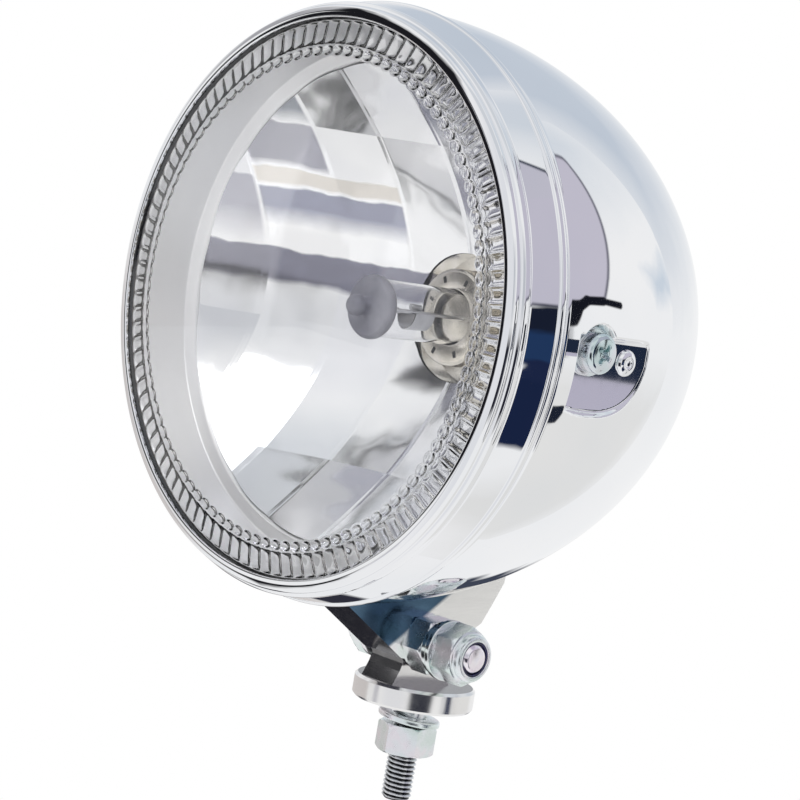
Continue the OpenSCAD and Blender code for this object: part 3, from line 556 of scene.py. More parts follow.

# %% [markdown]
# Nuts, screws and washers are zinc plated, with a faint green or pink tint. One finish could serve them
# all, but then they would look cut from one bar, so each kind has its own polish. A thread's root is painted
# dark as painted shade, and the distance from the stud's axis says where that is.

# %% Zinc, steel and bulb metal
bright_zinc = zinc("bright zinc", ((0.72, 0.80, 0.78), (0.80, 0.82, 0.83), (0.84, 0.78, 0.82)))
screw_zinc = zinc("screw zinc", ((0.52, 0.64, 0.64), (0.66, 0.74, 0.76), (0.72, 0.72, 0.76)), rough=0.09)
nut_zinc = zinc("nut zinc", ((0.74, 0.82, 0.80), (0.82, 0.86, 0.88), (0.88, 0.84, 0.88)), rough=0.24)
zinc_steel = zinc("zinc steel", ((0.66, 0.68, 0.68), (0.7, 0.71, 0.72), (0.74, 0.73, 0.74)), rough=0.25)
stud_zinc = zinc("stud zinc", ((0.66, 0.68, 0.7), (0.72, 0.73, 0.75), (0.78, 0.78, 0.79)), rough=0.2)
bolt_zinc = zinc("bolt zinc", ((0.86, 0.78, 0.86), (0.9, 0.86, 0.9), (0.86, 0.84, 0.92)), 0.12, scale=260.0)
bulb_steel = zinc("bulb steel", ((0.74, 0.7, 0.62), (0.8, 0.76, 0.68), (0.84, 0.8, 0.74)), rough=0.22)
bulb_wire = zinc("bulb wire", ((0.5, 0.5, 0.52), (0.56, 0.56, 0.58), (0.62, 0.62, 0.64)), rough=0.3)
ROOT_R, ROOT_FADE = 0.0047, 0.00035
calc = partial(math_node, stud_zinc.node_tree)
# painted shade: the thread's root, close to the axis, is painted near black
x, y, _ = xyz(stud_zinc.node_tree, "Object")
from_axis = calc("SQRT", calc("ADD", calc("MULTIPLY", x, x), calc("MULTIPLY", y, y)))
painted_root_shade = calc("DIVIDE", calc("SUBTRACT", ROOT_R, from_axis), ROOT_FADE, clamp=True)
tint_over(stud_zinc, painted_root_shade, (0.03, 0.03, 0.033))
print("zinc finishes: 8")

# %% [markdown]
# Clear glass is one plain shader with full transmission: all its form comes from the mesh. The bulb's
# thin tube bends light less, or it would look like a solid rod. Rubber and plastic are never fully
# black: their tint drifts a little above it, and a fine bump keeps their gloss soft.

# %% Glass, rubber, plastic and nylon
WHITE = (1.0, 1.0, 1.0)
clear_glass, tree, shader = plain("clear glass", WHITE, roughness=0.0, Transmission_Weight=1.0, IOR=1.47)
bump(tree, shader, plated(tree, 14.0, 90.0, 0.0, 0.01)["Height"], 0.2, 0.00005)
tube_glass, tree, shader = plain("bulb glass", WHITE, roughness=0.0, Transmission_Weight=1.0, IOR=1.3)
tree.links.new(plated(tree, 60.0, 200.0, 0.0, 0.02)["Roughness"], shader["Roughness"])
tip_coat, tree, shader = plain("bulb tip coat", (0.38, 0.38, 0.44), roughness=0.45)
tip_tones = ((0.35, 0.35, 0.41), (0.38, 0.38, 0.44), (0.42, 0.42, 0.48))
tree.links.new(drifting(tree, 200.0, tip_tones), shader["Base Color"])
black_rubber = soft_black(
    "black rubber", ((0.012, 0.012, 0.013), (0.02, 0.02, 0.021), (0.03, 0.03, 0.031)), 0.6, 120.0, 0.0001)
black_plastic_and_shade = soft_black(
    "black plastic and slot shade", ((0.015, 0.015, 0.016), (0.022, 0.022, 0.023), (0.03, 0.03, 0.03)), 0.4, 160.0, 0.00005)
nylon = soft_black(
    "nylon", ((0.01, 0.012, 0.05), (0.016, 0.018, 0.07), (0.03, 0.03, 0.1)), 0.25, 300.0, 0.00003)
print("materials:", len(bpy.data.materials))

# %% [markdown]
# ## Turned pieces
# Most of the lamp is spun, pressed or turned, so its pieces are surfaces of revolution. A screw modifier
# could turn a profile too, but code that lays the rings itself can also push single points in later. A
# drawn profile has sharp corners and real sheet has none, so each corner is first rounded with a small
# arc. The rounded edges are what carries the thin bright lines in a picture of chrome.

# %% Helpers for turned pieces
def rounded(points, radius, steps=4, closed=True):
    """A profile with its corners replaced by arcs."""
    count = len(points)
    profile = []
    for i, here in enumerate(points):
        if not closed and i in (0, count - 1):
            profile.append(here)
            continue
        corner = Vector(here)
        before, after = Vector(points[i - 1]) - corner, Vector(points[(i + 1) % count]) - corner
        reach = min(radius, before.length * 0.45, after.length * 0.45)
        a, b = corner + before.normalized() * reach, corner + after.normalized() * reach
        for k in range(steps + 1):
            t = k / steps
            profile.append(tuple(a * (1 - t) ** 2 + corner * 2 * t * (1 - t) + b * t ** 2))
    return profile


def add_piece(name, verts, faces, body, material, nodes=(), degrees=35):
    """A piece from points and faces, riding on its body, in place of the named solid parts."""
    mesh = bpy.data.meshes.new(name)
    mesh.from_pydata(verts, [], faces)
    work = bmesh.new()
    work.from_mesh(mesh)
    bmesh.ops.remove_doubles(work, verts=work.verts, dist=1e-7)
    bmesh.ops.recalc_face_normals(work, faces=work.faces)
    work.to_mesh(mesh)
    work.free()
    mesh.shade_smooth()
    mesh.set_sharp_from_angle(angle=math.radians(degrees))
    mesh.materials.append(material)
    piece = bpy.data.objects.new(name, mesh)
    scene.collection.objects.link(piece)
    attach(piece, body)
    if nodes:
        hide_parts(*nodes)
    print(name, "faces:", len(mesh.polygons))
    return piece


def grid_faces(rows, columns, wrap_rows=True, wrap_columns=True, start=0):
    """Four-sided faces between rows of points, closed round either way if asked."""
    faces = []
    for i in range(rows if wrap_rows else rows - 1):
        here, beyond = start + i * columns, start + (i + 1) % rows * columns
        for j in range(columns if wrap_columns else columns - 1):
            k = (j + 1) % columns
            faces.append((here + j, here + k, beyond + k, beyond + j))
    return faces


def spun(name, profile, body, material, nodes=(), segments=256, place=lamp_point):
    """A piece turned from a closed profile of (radius, depth)."""
    verts = [place(r, s, TURN * j / segments) for r, s in profile for j in range(segments)]
    add_piece(name, verts, grid_faces(len(profile), segments), body, material, nodes)


print("turned piece helpers ready")

# %% [markdown]
# ## Rim
# The rim is one ring of plated sheet. From the glass outwards it has a narrow bevel, a thin groove with a
# small bead, a plain side band that widens a little, and a rolled bead where it meets the shell. It could
# be put together from rings, but the light would break at each joint, so all of it is one profile. Two
# welded tabs inside it take the side screws.

# %% Rim
rim_profile = rounded([
    (85.5, 0.0), (85.5, -1.0), (85.8, -1.25), (87.3, -1.25), (88.9, -0.6), (89.5, 0.5), (89.5, 1.5),
    (90.1, 1.8), (90.75, 2.5), (90.85, 4.3), (90.35, 4.9), (90.6, 5.4), (92.4, 14.0), (92.5, 14.5),
    (93.2, 14.9), (93.35, 16.0), (93.2, 16.9), (92.7, 17.35), (92.0, 17.3), (91.5, 16.6), (91.5, 14.3),
    (89.8, 5.4), (89.4, 2.4), (88.8, 1.0), (88.3, 0.0)], 0.35)
spun("rim_ring", rim_profile, "lamp", rim_chrome, ("rim",), segments=384)

TAB_OUTLINE = [(85.3, 6.2), (90.0, 6.2), (90.0, 7.2), (86.3, 7.2), (86.3, 41.8), (85.3, 41.8)]
TAB_WIDTH, TAB_EDGE = 14, 0.00025
for side, label in ((1, "right"), (-1, "left")):
    low = [Vector((side * x, s - FRONT_OUT, AXIS_UP - TAB_WIDTH / 2)) for x, s in TAB_OUTLINE]
    count = len(low)
    verts = [corner * MM for corner in low + [corner + Vector((0, 0, TAB_WIDTH)) for corner in low]]
    faces = [tuple(range(count)), tuple(reversed(range(count, 2 * count)))]
    faces += [(i, (i + 1) % count, count + (i + 1) % count, count + i) for i in range(count)]
    tab = add_piece("rim_tab_" + label, verts, faces, "lamp", zinc_steel, degrees=30)
    edge = tab.modifiers.new("edge", "BEVEL")
    edge.width, edge.segments, edge.limit_method = TAB_EDGE, 2, "ANGLE"

# %% [markdown]
# ## Shell
# The shell is a deep dome, drawn from sheet, with a pocket pressed into each side for a screw. A pressed
# pocket has soft corners, so the dome isn't cut with a boolean: its points are pushed in towards the
# pocket's flat floor where they lie inside the outline. The mesh is fine near the pockets and coarse
# elsewhere.

# %% Outline of a pocket
SHELL_R, DOME_START, DOME_LEN, SHEET = 92.4, 23.0, 121.2, 1.0
NECK_R, NECK_END, NECK_STEP = 90.5, 17.5, 1.3
FLOOR_X = 87.6
SCREW_S, BAY_R = 34.5, 8.4
POCKET_FRONT, POCKET_REAR, POCKET_TOP, POCKET_CORNER = 25.5, 61.0, 4.8, 2.2
CURVE_S, CURVE_UP, CURVE_R, CURVE_POWER = 37.0, 6.0, 24.6, 2.6
WALL_START, WALL_RUN = 0.25, 1.5  # where the pocket's slanted wall starts outside the outline, and its width
PRESSED_FROM, PRESSED_TO = 24, 64


def ease(t):
    t = min(max(t, 0.0), 1.0)
    return t * t * (3 - 2 * t)


def pocket_inside(s, z):
    """How far a point lies inside the pocket's outline, in millimetres."""
    to_rear, to_top = POCKET_REAR - s, POCKET_TOP - z
    reach = (abs(s - CURVE_S) ** CURVE_POWER + abs(z - CURVE_UP) ** CURVE_POWER) ** (1 / CURVE_POWER)
    sides = min(s - POCKET_FRONT, to_rear, to_top)
    if to_top < POCKET_CORNER and to_rear < POCKET_CORNER:
        sides = POCKET_CORNER - math.hypot(POCKET_CORNER - to_top, POCKET_CORNER - to_rear)
    bay = BAY_R - math.hypot(s - SCREW_S, z)
    return max(min(CURVE_R - reach, sides), bay)


print("middle of the pocket lies inside by", round(pocket_inside(45.0, -5.0), 2), "mm")

# %% [markdown]
# The outer skin runs from the neck to the cable hole, and the inner one comes back, one sheet thickness
# further in. Rows of points lie close together where the neck steps up and where the pockets are.

# %% Shell
CABLE_HOLE_R = 7.9
FINE_HALF, FINE_STEPS, COARSE_STEPS = 13.5, 108, 96  # degrees on each side of a pocket, and steps


def shell_point(s, a, inward=0.0):
    if s <= NECK_END + NECK_STEP:
        r = NECK_R + (SHELL_R - NECK_R) * ease((s - NECK_END) / NECK_STEP) - inward
    elif s <= DOME_START:
        r = SHELL_R - inward
    else:
        r = (SHELL_R - inward) * math.sqrt(max(0.0, 1 - ((s - DOME_START) / (DOME_LEN - inward)) ** 2))
    x, z = r * math.cos(a), r * math.sin(a)
    depth = abs(x) - (FLOOR_X - inward)
    if depth > 0 and PRESSED_FROM < s < PRESSED_TO:
        pushed = depth * ease((pocket_inside(s, z) + WALL_START) / WALL_RUN)
        x = math.copysign(abs(x) - pushed, x)
    return Vector((x, s - FRONT_OUT, AXIS_UP + z)) * MM


fine = [math.radians(-FINE_HALF + 2 * FINE_HALF * k / FINE_STEPS) for k in range(FINE_STEPS + 1)]
coarse = [math.radians(FINE_HALF + (180 - 2 * FINE_HALF) * k / COARSE_STEPS) for k in range(1, COARSE_STEPS)]
angles = fine + coarse + [a + math.pi for a in fine + coarse]
depths = [11.0, 14.0, 17.0] + [NECK_END + NECK_STEP * k / 6 for k in range(7)] + [20.0, 21.5, 23.0, 24.0]
depths += [24.4 + 0.38 * k for k in range(1, 105)]
first = math.asin((depths[-1] - DOME_START) / DOME_LEN)
last = math.acos(CABLE_HOLE_R / SHELL_R)
depths += [DOME_START + DOME_LEN * math.sin(first + (last - first) * k / 70) for k in range(1, 71)]
inner_end = DOME_START + (DOME_LEN - SHEET) * math.sin(math.acos(CABLE_HOLE_R / (SHELL_R - SHEET)))
inner_depths = [min(s, inner_end) for s in depths[::-1][::4] if s > 24.5] + [23.0, 19.5, 17.9, 11.0]
verts = [shell_point(s, a) for s in depths for a in angles]
verts += [shell_point(s, a, SHEET) for s in inner_depths for a in angles]
faces = grid_faces(len(depths) + len(inner_depths), len(angles))
add_piece("shell_skin", verts, faces, "lamp", shell_chrome, ("shell",), 60)

# %% [markdown]
# ## Glass
# The clear glass is a shallow dome with a plain middle. Inside its edge runs a band of moulded beads, like a
# row of small lenses, with a second row of smaller loops inside it. A bump in the finish would be
# cheaper, but a lens only sparkles where the surface itself bends, so the beads are waves of the mesh.

# %% Glass with its fluted band
SAG, GLASS_R, GLASS_THICK = 9.0, 85.5, 3.2
DOME_RADIUS = (GLASS_R ** 2 + SAG ** 2) / (2 * SAG)
FLUTES, ACROSS = 104, 9
BEAD_R, BEAD_HALF, BEAD_SWELL = 80.9, 3.7, 1.25
LOOP_R, LOOP_HALF, LOOP_SWELL = 75.2, 1.5, 0.8


def glass_front(r):
    return DOME_RADIUS - math.sqrt(DOME_RADIUS ** 2 - r ** 2) - SAG


def bead_height(r, turn):
    """How far the back of the glass swells at a radius and a place across one bead, -1 to 1."""
    across = max(0.0, 1 - abs(turn) ** 2.6)
    bead = max(0.0, 1 - abs((r - BEAD_R) / BEAD_HALF) ** 5) * across
    loop = max(0.0, 1 - math.hypot((r - LOOP_R) / LOOP_HALF, turn) ** 2.5)
    return BEAD_SWELL * bead ** 0.75 + LOOP_SWELL * loop ** 0.8


columns = FLUTES * ACROSS
front_radii = [0.3, 6, 14, 24, 34, 44, 54, 62, 68, 72, 75, 78, 81, 83.5, 85.2]
edge_points = [(86.2, 0.05), (87.8, 0.1), (88.0, 0.4), (88.0, 2.8), (87.8, 3.1), (85.3, 3.18)]
band_radii = [84.8, 84.5] + [84.4 - 0.3 * k for k in range(37)]
back_radii = [73.2, 72, 68, 62, 54, 44, 34, 24, 14, 6, 0.3]
rows = [(r, glass_front(r), False) for r in front_radii] + [(r, s, False) for r, s in edge_points]
rows += [(r, glass_front(r) + GLASS_THICK, True) for r in band_radii]
rows += [(r, glass_front(r) + GLASS_THICK, False) for r in back_radii]
verts = []
for r, s, beaded in rows:
    for j in range(columns):
        turn = ((j % ACROSS) + 0.5) / ACROSS * 2 - 1
        swell = bead_height(r, turn) if beaded else 0.0
        verts.append(lamp_point(r, s + swell, TURN * j / columns))
faces = grid_faces(len(rows), columns, wrap_rows=False)
faces += [tuple(range(columns)), tuple(range(len(verts) - columns, len(verts)))]
front_glass = add_piece("front_glass", verts, faces, "lamp", clear_glass, ("glass",), 50)
front_glass.visible_shadow = False

# %% [markdown]
# ## Reflector
# Behind the glass a tapered wall leads back to a step, and behind the step lies the bowl. The bowl is a
# paraboloid, divided by straight lines into upright panels and some cross rows. Each panel bulges a
# little, so that the light spreads, and the lines between them are creases. A turned bowl with knife
# cuts would do, but its points would miss the creases. So the bowl is built column by column, with its
# points exactly on them.

# %% Form of the bowl
FOCAL, VERTEX, BOWL_R, HOLE_R = 28.0, 73.0, 75.0, 21.0
COLUMN_LINES = [-75.0, -62.4, -43.0, -23.4, 0.0, 23.4, 43.0, 62.4, 75.0]
ROW_LINES = [-75.0, -52.0, -10.5, 10.5, 53.0, 75.0]
COLUMN_BULGE, ROW_BULGE, CREASE_RISE, CREASE_HALF = 0.75, 0.6, 0.16, 0.5


def paraboloid(square):
    """Depth of the bowl at a squared distance from its axis."""
    return VERTEX - square / (4 * FOCAL)


def bowl_depth(x, z, left, right):
    """Depth of a panel between two column lines, with its bulge and creases."""
    u = (2 * x - left - right) / (right - left)
    from_crease = (1 - abs(u)) * (right - left) / 2
    bulge = COLUMN_BULGE * (1 - u * u) + CREASE_RISE * math.exp(-(from_crease / CREASE_HALF) ** 2)
    for low, high in zip(ROW_LINES, ROW_LINES[1:]):
        if low <= z <= high:
            v = (2 * z - low - high) / (high - low)
            bulge += ROW_BULGE * (1 - v * v) * min(1.0, (high - low) / 30)
    return paraboloid(x * x + z * z) - bulge


def facet_ends(low_arc, high_arc, low_line, high_line, x):
    """Lowest and highest point of a facet at one x: two arcs, each a side and radius, and two lines."""
    low_end, high_end = [side * math.sqrt(max(0.0, r * r - x * x)) for side, r in (low_arc, high_arc)]
    return min(max(low_end, low_line), high_end), max(min(high_end, high_line), low_end)


print("bowl from depth", round(paraboloid(BOWL_R ** 2), 1), "to", round(paraboloid(HOLE_R ** 2), 1), "mm")

# %% [markdown]
# Where a column passes the bulb's hole, it has two spans, above and below the hole. Facets that the
# circles cut away entirely are left out.

# %% Reflector bowl
ACROSS_STEPS, CELL = 14, 2.2
verts, faces = [], []
for left, right in zip(COLUMN_LINES, COLUMN_LINES[1:]):
    cuts = sorted({left, right, *[c for c in (-HOLE_R, HOLE_R) if left < c < right]})
    for x0, x1 in zip(cuts, cuts[1:]):
        waves = [0.5 - 0.5 * math.cos(math.pi * k / ACROSS_STEPS) for k in range(ACROSS_STEPS + 1)]
        places = [x0 + (x1 - x0) * wave for wave in waves]
        arcs = [((-1, BOWL_R), (1, BOWL_R))]
        if abs((x0 + x1) / 2) < HOLE_R:
            arcs = [((-1, BOWL_R), (-1, HOLE_R)), ((1, HOLE_R), (1, BOWL_R))]
        facets = [(*lines, *pair) for lines in zip(ROW_LINES, ROW_LINES[1:]) for pair in arcs]
        for low_line, high_line, low_arc, high_arc in facets:
            ends = [facet_ends(low_arc, high_arc, low_line, high_line, x) for x in places]
            tallest = max(high - low for low, high in ends)
            if tallest > 0.3:
                steps = max(4, int(tallest / CELL))
                faces += grid_faces(len(places), steps + 1, False, False, len(verts))
                for x, (low, high) in zip(places, ends):
                    for k in range(steps + 1):
                        z = low + (high - low) * k / steps
                        depth = bowl_depth(x, z, left, right)
                        verts.append(Vector((x, depth - FRONT_OUT, AXIS_UP + z)) * MM)
add_piece("reflector_bowl", verts, faces, "lamp", mirror_coat, ("reflector",), 4)

# %% [markdown]
# The wall with its step is one turned ring, rounded where the sheet is drawn over. The bowl's back and
# the neck that holds the bulb are hardly seen through the glass, so they are one plain turned piece that
# closes the reflector from behind.

# %% Reflector wall, step, back and neck
wall_profile = rounded([
    (88.0, 4.45), (84.0, 4.45), (80.0, 20.7), (76.2, 21.6), (75.0, 23.0), (76.2, 24.2), (81.2, 21.9),
    (85.1, 5.6), (88.0, 5.6)], 0.5, 3)
spun("reflector_wall", wall_profile, "lamp", wall_coat, segments=320)
back_profile = [(75.4, 24.0)] + [(r, paraboloid(r * r) + 1.4) for r in range(74, 21, -2)]
back_profile += [(22.2, 76.0), (27.0, 76.0), (27.0, 77.0), (21.0, 77.0), (21.0, 69.2)]
back_profile += [(r + 0.3, paraboloid(r * r) + 0.7) for r in range(22, 75, 4)]
spun("reflector_back", back_profile, "lamp", mirror_coat, segments=128)

# %% [markdown]
# ## Bulb
# A halogen bulb stands on the reflector's axis: a clear tube with a grey coated tip, a metal cup and
# flange, and thin wires inside. A solid rod would be the shortest way to a glass tube, but it works as a
# strong lens and looks wrong, so the tube is turned as one hollow skin. The coat on its tip is a thin cap
# over it, because on the real bulb it is a layer of paint on the outside.

# %% Bulb tube and tip coat
tube_outside = [(0.02, 28.9), (6.6, 29.0), (8.6, 29.6), (9.1, 31.0), (9.1, 59.0), (8.75, 63.0), (8.75, 74.0)]
tube_inside = [(7.9, 74.0), (7.9, 63.0), (8.2, 59.0), (8.2, 32.0), (7.4, 30.6), (6.0, 29.9), (0.02, 29.8)]
spun("bulb_tube", rounded(tube_outside, 1.0, 5, closed=False) + tube_inside,
     "lamp", tube_glass, ("bulb_glass",), segments=96)
coat_outside = [(0.02, 21.05), (2.2, 21.2), (3.3, 22.3), (3.4, 24.2), (2.6, 26.0), (3.0, 27.8), (6.5, 27.9),
                (9.2, 28.2), (10.1, 29.4), (10.1, 31.0), (9.3, 32.0)]
coat_inside = [(9.13, 31.8), (9.13, 30.9), (8.62, 29.5), (6.6, 28.9), (0.02, 28.8)]
spun("bulb_tip_coat", rounded(coat_outside, 1.0, 5, closed=False) + coat_inside,
     "lamp", tip_coat, segments=96)

# %% [markdown]
# Inside the tube stand three posts with two coiled filaments, and half a cup that shields one of them.
# A curve with a bevel would do for a wire. Here a ring of points is carried along each path instead, so
# that a wire is a plain mesh like all other pieces.

# %% Bulb wires: posts, two coils and the small shield
def on_axis(x, s, z):
    return (x, s - FRONT_OUT, AXIS_UP + z)


def rod_points(path, radius, sides):
    """Rings of points along a path, each turned as little as possible from the one before."""
    verts = []
    for i, here in enumerate(path):
        ahead = (path[min(i + 1, len(path) - 1)] - path[max(i - 1, 0)]).normalized()
        side = ahead.orthogonal().normalized() if i == 0 else (side - ahead * side.dot(ahead)).normalized()
        other = ahead.cross(side)
        turns = [TURN * k / sides for k in range(sides)]
        verts += [here + (side * math.cos(a) + other * math.sin(a)) * radius for a in turns]
    return verts


def wires(name, paths, radius, nodes=(), sides=10):
    verts, faces = [], []
    for path in paths:
        start = len(verts)
        verts += [v * MM for v in rod_points([Vector(p) for p in path], radius, sides)]
        faces += grid_faces(len(path), sides, False, True, start)
        faces += [tuple(range(start, start + sides)), tuple(range(len(verts) - sides, len(verts)))]
    add_piece(name, verts, faces, "lamp", bulb_wire, nodes, 40)


def coil(s0, s1, turns, radius, z):
    steps = 12 * turns
    return [on_axis(radius * math.cos(TURN * t / 12), s0 + (s1 - s0) * t / steps,
                    z + radius * math.sin(TURN * t / 12)) for t in range(steps + 1)]


posts = [[on_axis(x, 70.0, 0), on_axis(x, 50.0, 0), on_axis(x, top + 3, 0), on_axis(x * 0.4, top, 0)]
         for x, top in ((-3.2, 34.0), (3.2, 34.0), (0.0, 46.0))]
wires("bulb_posts", posts, 0.45, ("bulb_filaments",))
wires("bulb_coils", [coil(35.0, 40.0, 9, 0.8, 0.0), coil(45.0, 50.0, 9, 0.8, 1.5)], 0.16, sides=6)
half_cup = [(5.0, 43.5), (5.3, 43.6), (5.3, 52.0), (5.0, 52.1)]
shield_verts = [lamp_point(r, s, math.pi + math.pi * j / 24) for r, s in half_cup for j in range(25)]
add_piece("bulb_shield", shield_verts, grid_faces(4, 25, True, False), "lamp", bulb_wire)

# %% [markdown]
# The metal cup holds the tube, and its flange seats on the reflector's neck. The small slots in its face
# could be cut, but they are barely a pixel wide, so thin dark plates laid in a ring stand in for them as
# painted shade of the openings.

# %% Bulb cup with its flange, and painted shade for its slots
CUP_SLOTS = 8
cup_floor = [(0.02, 66.0), (7.7, 66.4), (7.7, 73.0), (0.02, 73.0)]
spun("bulb_cup_floor", cup_floor, "lamp", bulb_steel, segments=96)
cup = rounded([(9.0, 64.0), (14.9, 64.0), (15.7, 65.0), (15.7, 77.0), (23.0, 77.0), (23.0, 78.2),
               (9.0, 78.2), (9.0, 76.0)], 0.5, 3)
spun("bulb_cup_body", cup, "lamp", bulb_steel, ("bulb_cup",), segments=96)
# painted shade: thin black plates where the slots' dark openings are
verts, faces = [], []
for k in range(CUP_SLOTS):
    a = TURN * (k + 0.5) / CUP_SLOTS
    start = len(verts)
    for depth in (63.9, 64.4):
        for r, da in ((11.4, -0.05), (13.5, -0.045), (13.5, 0.045), (11.4, 0.05)):
            verts.append(lamp_point(r, depth, a + da))
    faces += [(start, start + 1, start + 2, start + 3), (start + 7, start + 6, start + 5, start + 4)]
    faces += [(start + i, start + (i + 1) % 4, start + 4 + (i + 1) % 4, start + 4 + i) for i in range(4)]
add_piece("bulb_cup_slot_shades", verts, faces, "lamp", black_plastic_and_shade)

# %% [markdown]
# ## Nuts, washers and bolts
# A nut is a hexagon with its corners turned off by a cone, so each flat side ends in a curve. A bevelled
# six-sided cylinder has no such curves, and a boolean with a cone leaves rough edges. So a nut is one
# grid round its own axis: at each angle the outside is the hexagon or the cone, whichever is smaller.
# Washers are punched, so their edges are slightly rounded, and a thread is a grid whose radius follows
# the turn of the helix.

# %% Helpers for hardware
AXES = {"x": (Vector((0, 1, 0)), Vector((0, 0, 1)), Vector((1, 0, 0))),
        "z": (Vector((1, 0, 0)), Vector((0, 1, 0)), Vector((0, 0, 1)))}
SIDE_STEPS = 16  # points along one side of a hexagon
CONE_SLOPE = 1.732
NEAR_AXIS = 0.02


def placed(origin, axis):
    """A function that puts radius, height and angle round an axis into the shared frame."""
    u, v, w = AXES[axis]
    base = Vector(origin)
    return lambda r, s, a: (base + u * (r * math.cos(a)) + v * (r * math.sin(a)) + w * s) * MM


def from_rows(name, rows, place, turn, body, material, nodes, degrees, wrap_rows):
    """A piece from rows of (radius, height) round one axis."""
    count = len(rows[0])
    verts = [place(r, s, turn + TURN * j / count) for row in rows for j, (r, s) in enumerate(row)]
    add_piece(name, verts, grid_faces(len(rows), count, wrap_rows), body, material, nodes, degrees)


def hexagon(name, origin, axis, across, height, bore, body, slot, material, nodes=(), turn=0.0, extra=()):
    """A nut from 0 to its height along the axis; extra is a profile for a collar on its far face."""
    cone = across / 2 * 1.02
    count = 6 * SIDE_STEPS
    chamfer = (0.0, 0.25, 0.55, 0.9, 1.3)
    rows = [[(bore + 0.5, 0.0)] * count, [(cone - 1.2, 0.0)] * count]
    for h in [*chamfer, *[height - low for low in reversed(chamfer)]]:
        turned = cone + min(h, height - h) * CONE_SLOPE
        angles = [(j % SIDE_STEPS) / SIDE_STEPS * math.pi / 3 - math.pi / 6 for j in range(count)]
        rows.append([(min(across / 2 / math.cos(a), turned), h) for a in angles])
    far_face = list(extra) or [(cone - 1.2, height), (bore + 0.5, height)]
    for point in far_face + [(bore, far_face[-1][1] - 0.5), (bore, 0.5)]:
        rows.append([point] * count)
    from_rows(name, rows, placed(origin, axis), turn, body, material, nodes, 28, True)


def washer(name, origin, axis, outer, inner, thick, body, slot, material, nodes=(), edge=0.35, gap=None):
    """A flat washer, or a spring washer if gap gives where its gap is, how wide, and its rise."""
    profile = rounded([(inner, 0), (outer, 0), (outer, thick), (inner, thick)], edge, 4)
    place = placed(origin, axis)
    if gap is None:
        spun(name, profile, body, material, nodes, 96, place)
        return
    start, width, rise = gap
    count = 97
    shares = [j / (count - 1) for j in range(count)]
    verts = [place(r, s + rise * (t - 0.5), start + width / 2 + t * (TURN - width))
             for r, s in profile for t in shares]
    faces = grid_faces(len(profile), count, True, False)
    faces += [tuple(i * count + end for i in range(len(profile))) for end in (0, count - 1)]
    add_piece(name, verts, faces, body, material, nodes, 35)


def threaded(name, origin, axis, outer, depth, pitch, start, end, body, material, nodes, plain_points):
    """A rod with a helical thread from start to end, and turned points before the start."""
    chamfer, count, per = 1.2, 48, 8
    rows = [[(NEAR_AXIS, plain_points[0][1])] * count] + [[point] * count for point in plain_points]
    way = 1 if end > start else -1
    for i in range(int(abs(end - start) / pitch * per) + 1):
        s = start + way * i * pitch / per
        row = []
        for j in range(count):
            wave = abs((i / per + way * j / count) % 1.0 * 2 - 1)
            wave = min(max((wave - 0.12) / 0.76, 0.0), 1.0)
            row.append((min(outer - depth * (1 - wave), outer - chamfer + abs(s - end)), s))
        rows.append(row)
    rows += [[(outer - chamfer - 0.4, end)] * count, [(NEAR_AXIS, end)] * count]
    from_rows(name, rows, placed(origin, axis), 0.0, body, material, nodes, 50, False)


print("hardware helpers ready")

# %% [markdown]
# The bolt passes through both ears of the bracket and the foot's lug. From the ear outwards it carries a
# nut, a spring washer, a flat washer and a self-locking nut with a nylon ring. Each place is the last
# one plus a thickness, as the parts are stacked on the real bolt.

# %% Pivot bolt and what is on it
EAR_X, NUT_H, SPRING_T, WASHER_T, LOCK_H, COLLAR_H, HEAD_T = 9.0, 8.4, 2.5, 2.0, 8.4, 3.0, 6.4
ACROSS_FLATS, NUT_BORE, WASHER_BORE, THREAD_R, PITCH = 17.0, 5.04, 5.25, 4.98, 1.5
SPRING_X = EAR_X + NUT_H
WASHER_X = SPRING_X + SPRING_T
LOCK_X = WASHER_X + WASHER_T
COLLAR_X = LOCK_X + LOCK_H
BOLT_END = COLLAR_X + COLLAR_H + 0.3


def on_bolt(x):
    """A place on the pivot bolt's axis."""
    return PIVOT + Vector((x, 0, 0))


zinc_on_lamp = ("lamp", "bright_zinc", bright_zinc)
nut_on_lamp = ("lamp", "bright_zinc", nut_zinc)
hexagon("pivot_nut_body", on_bolt(EAR_X), "x", ACROSS_FLATS, NUT_H, NUT_BORE, *nut_on_lamp, ("pivot_nut",),
        turn=0.1)
washer("pivot_spring_ring", on_bolt(SPRING_X), "x", 9.0, WASHER_BORE, SPRING_T - 0.3, *zinc_on_lamp,
       ("pivot_spring_washer",), gap=(2.0, 0.14, 0.28))
washer("pivot_flat_ring", on_bolt(WASHER_X), "x", 9.9, WASHER_BORE, WASHER_T, *zinc_on_lamp,
       ("pivot_flat_washer",))
collar = rounded([(8.6, LOCK_H), (7.6, LOCK_H + 0.4), (7.6, LOCK_H + 2.2), (6.9, LOCK_H + COLLAR_H),
                  (5.6, LOCK_H + COLLAR_H), (5.6, LOCK_H - 0.4), (NUT_BORE, LOCK_H - 0.4)],
                 0.45, 4, closed=False)
hexagon("lock_nut_body", on_bolt(LOCK_X), "x", ACROSS_FLATS, LOCK_H, NUT_BORE, *nut_on_lamp, ("lock_nut",),
        turn=0.45, extra=collar)
washer("lock_nut_nylon", on_bolt(COLLAR_X - 0.3), "x", 5.58, 5.02, 2.9, "lamp", "nylon_ring", nylon,
       ("lock_nut_ring",), edge=0.2)
washer("bolt_head_ring", on_bolt(-EAR_X - WASHER_T), "x", 9.9, WASHER_BORE, WASHER_T, *zinc_on_lamp,
       ("bolt_head_washer",))
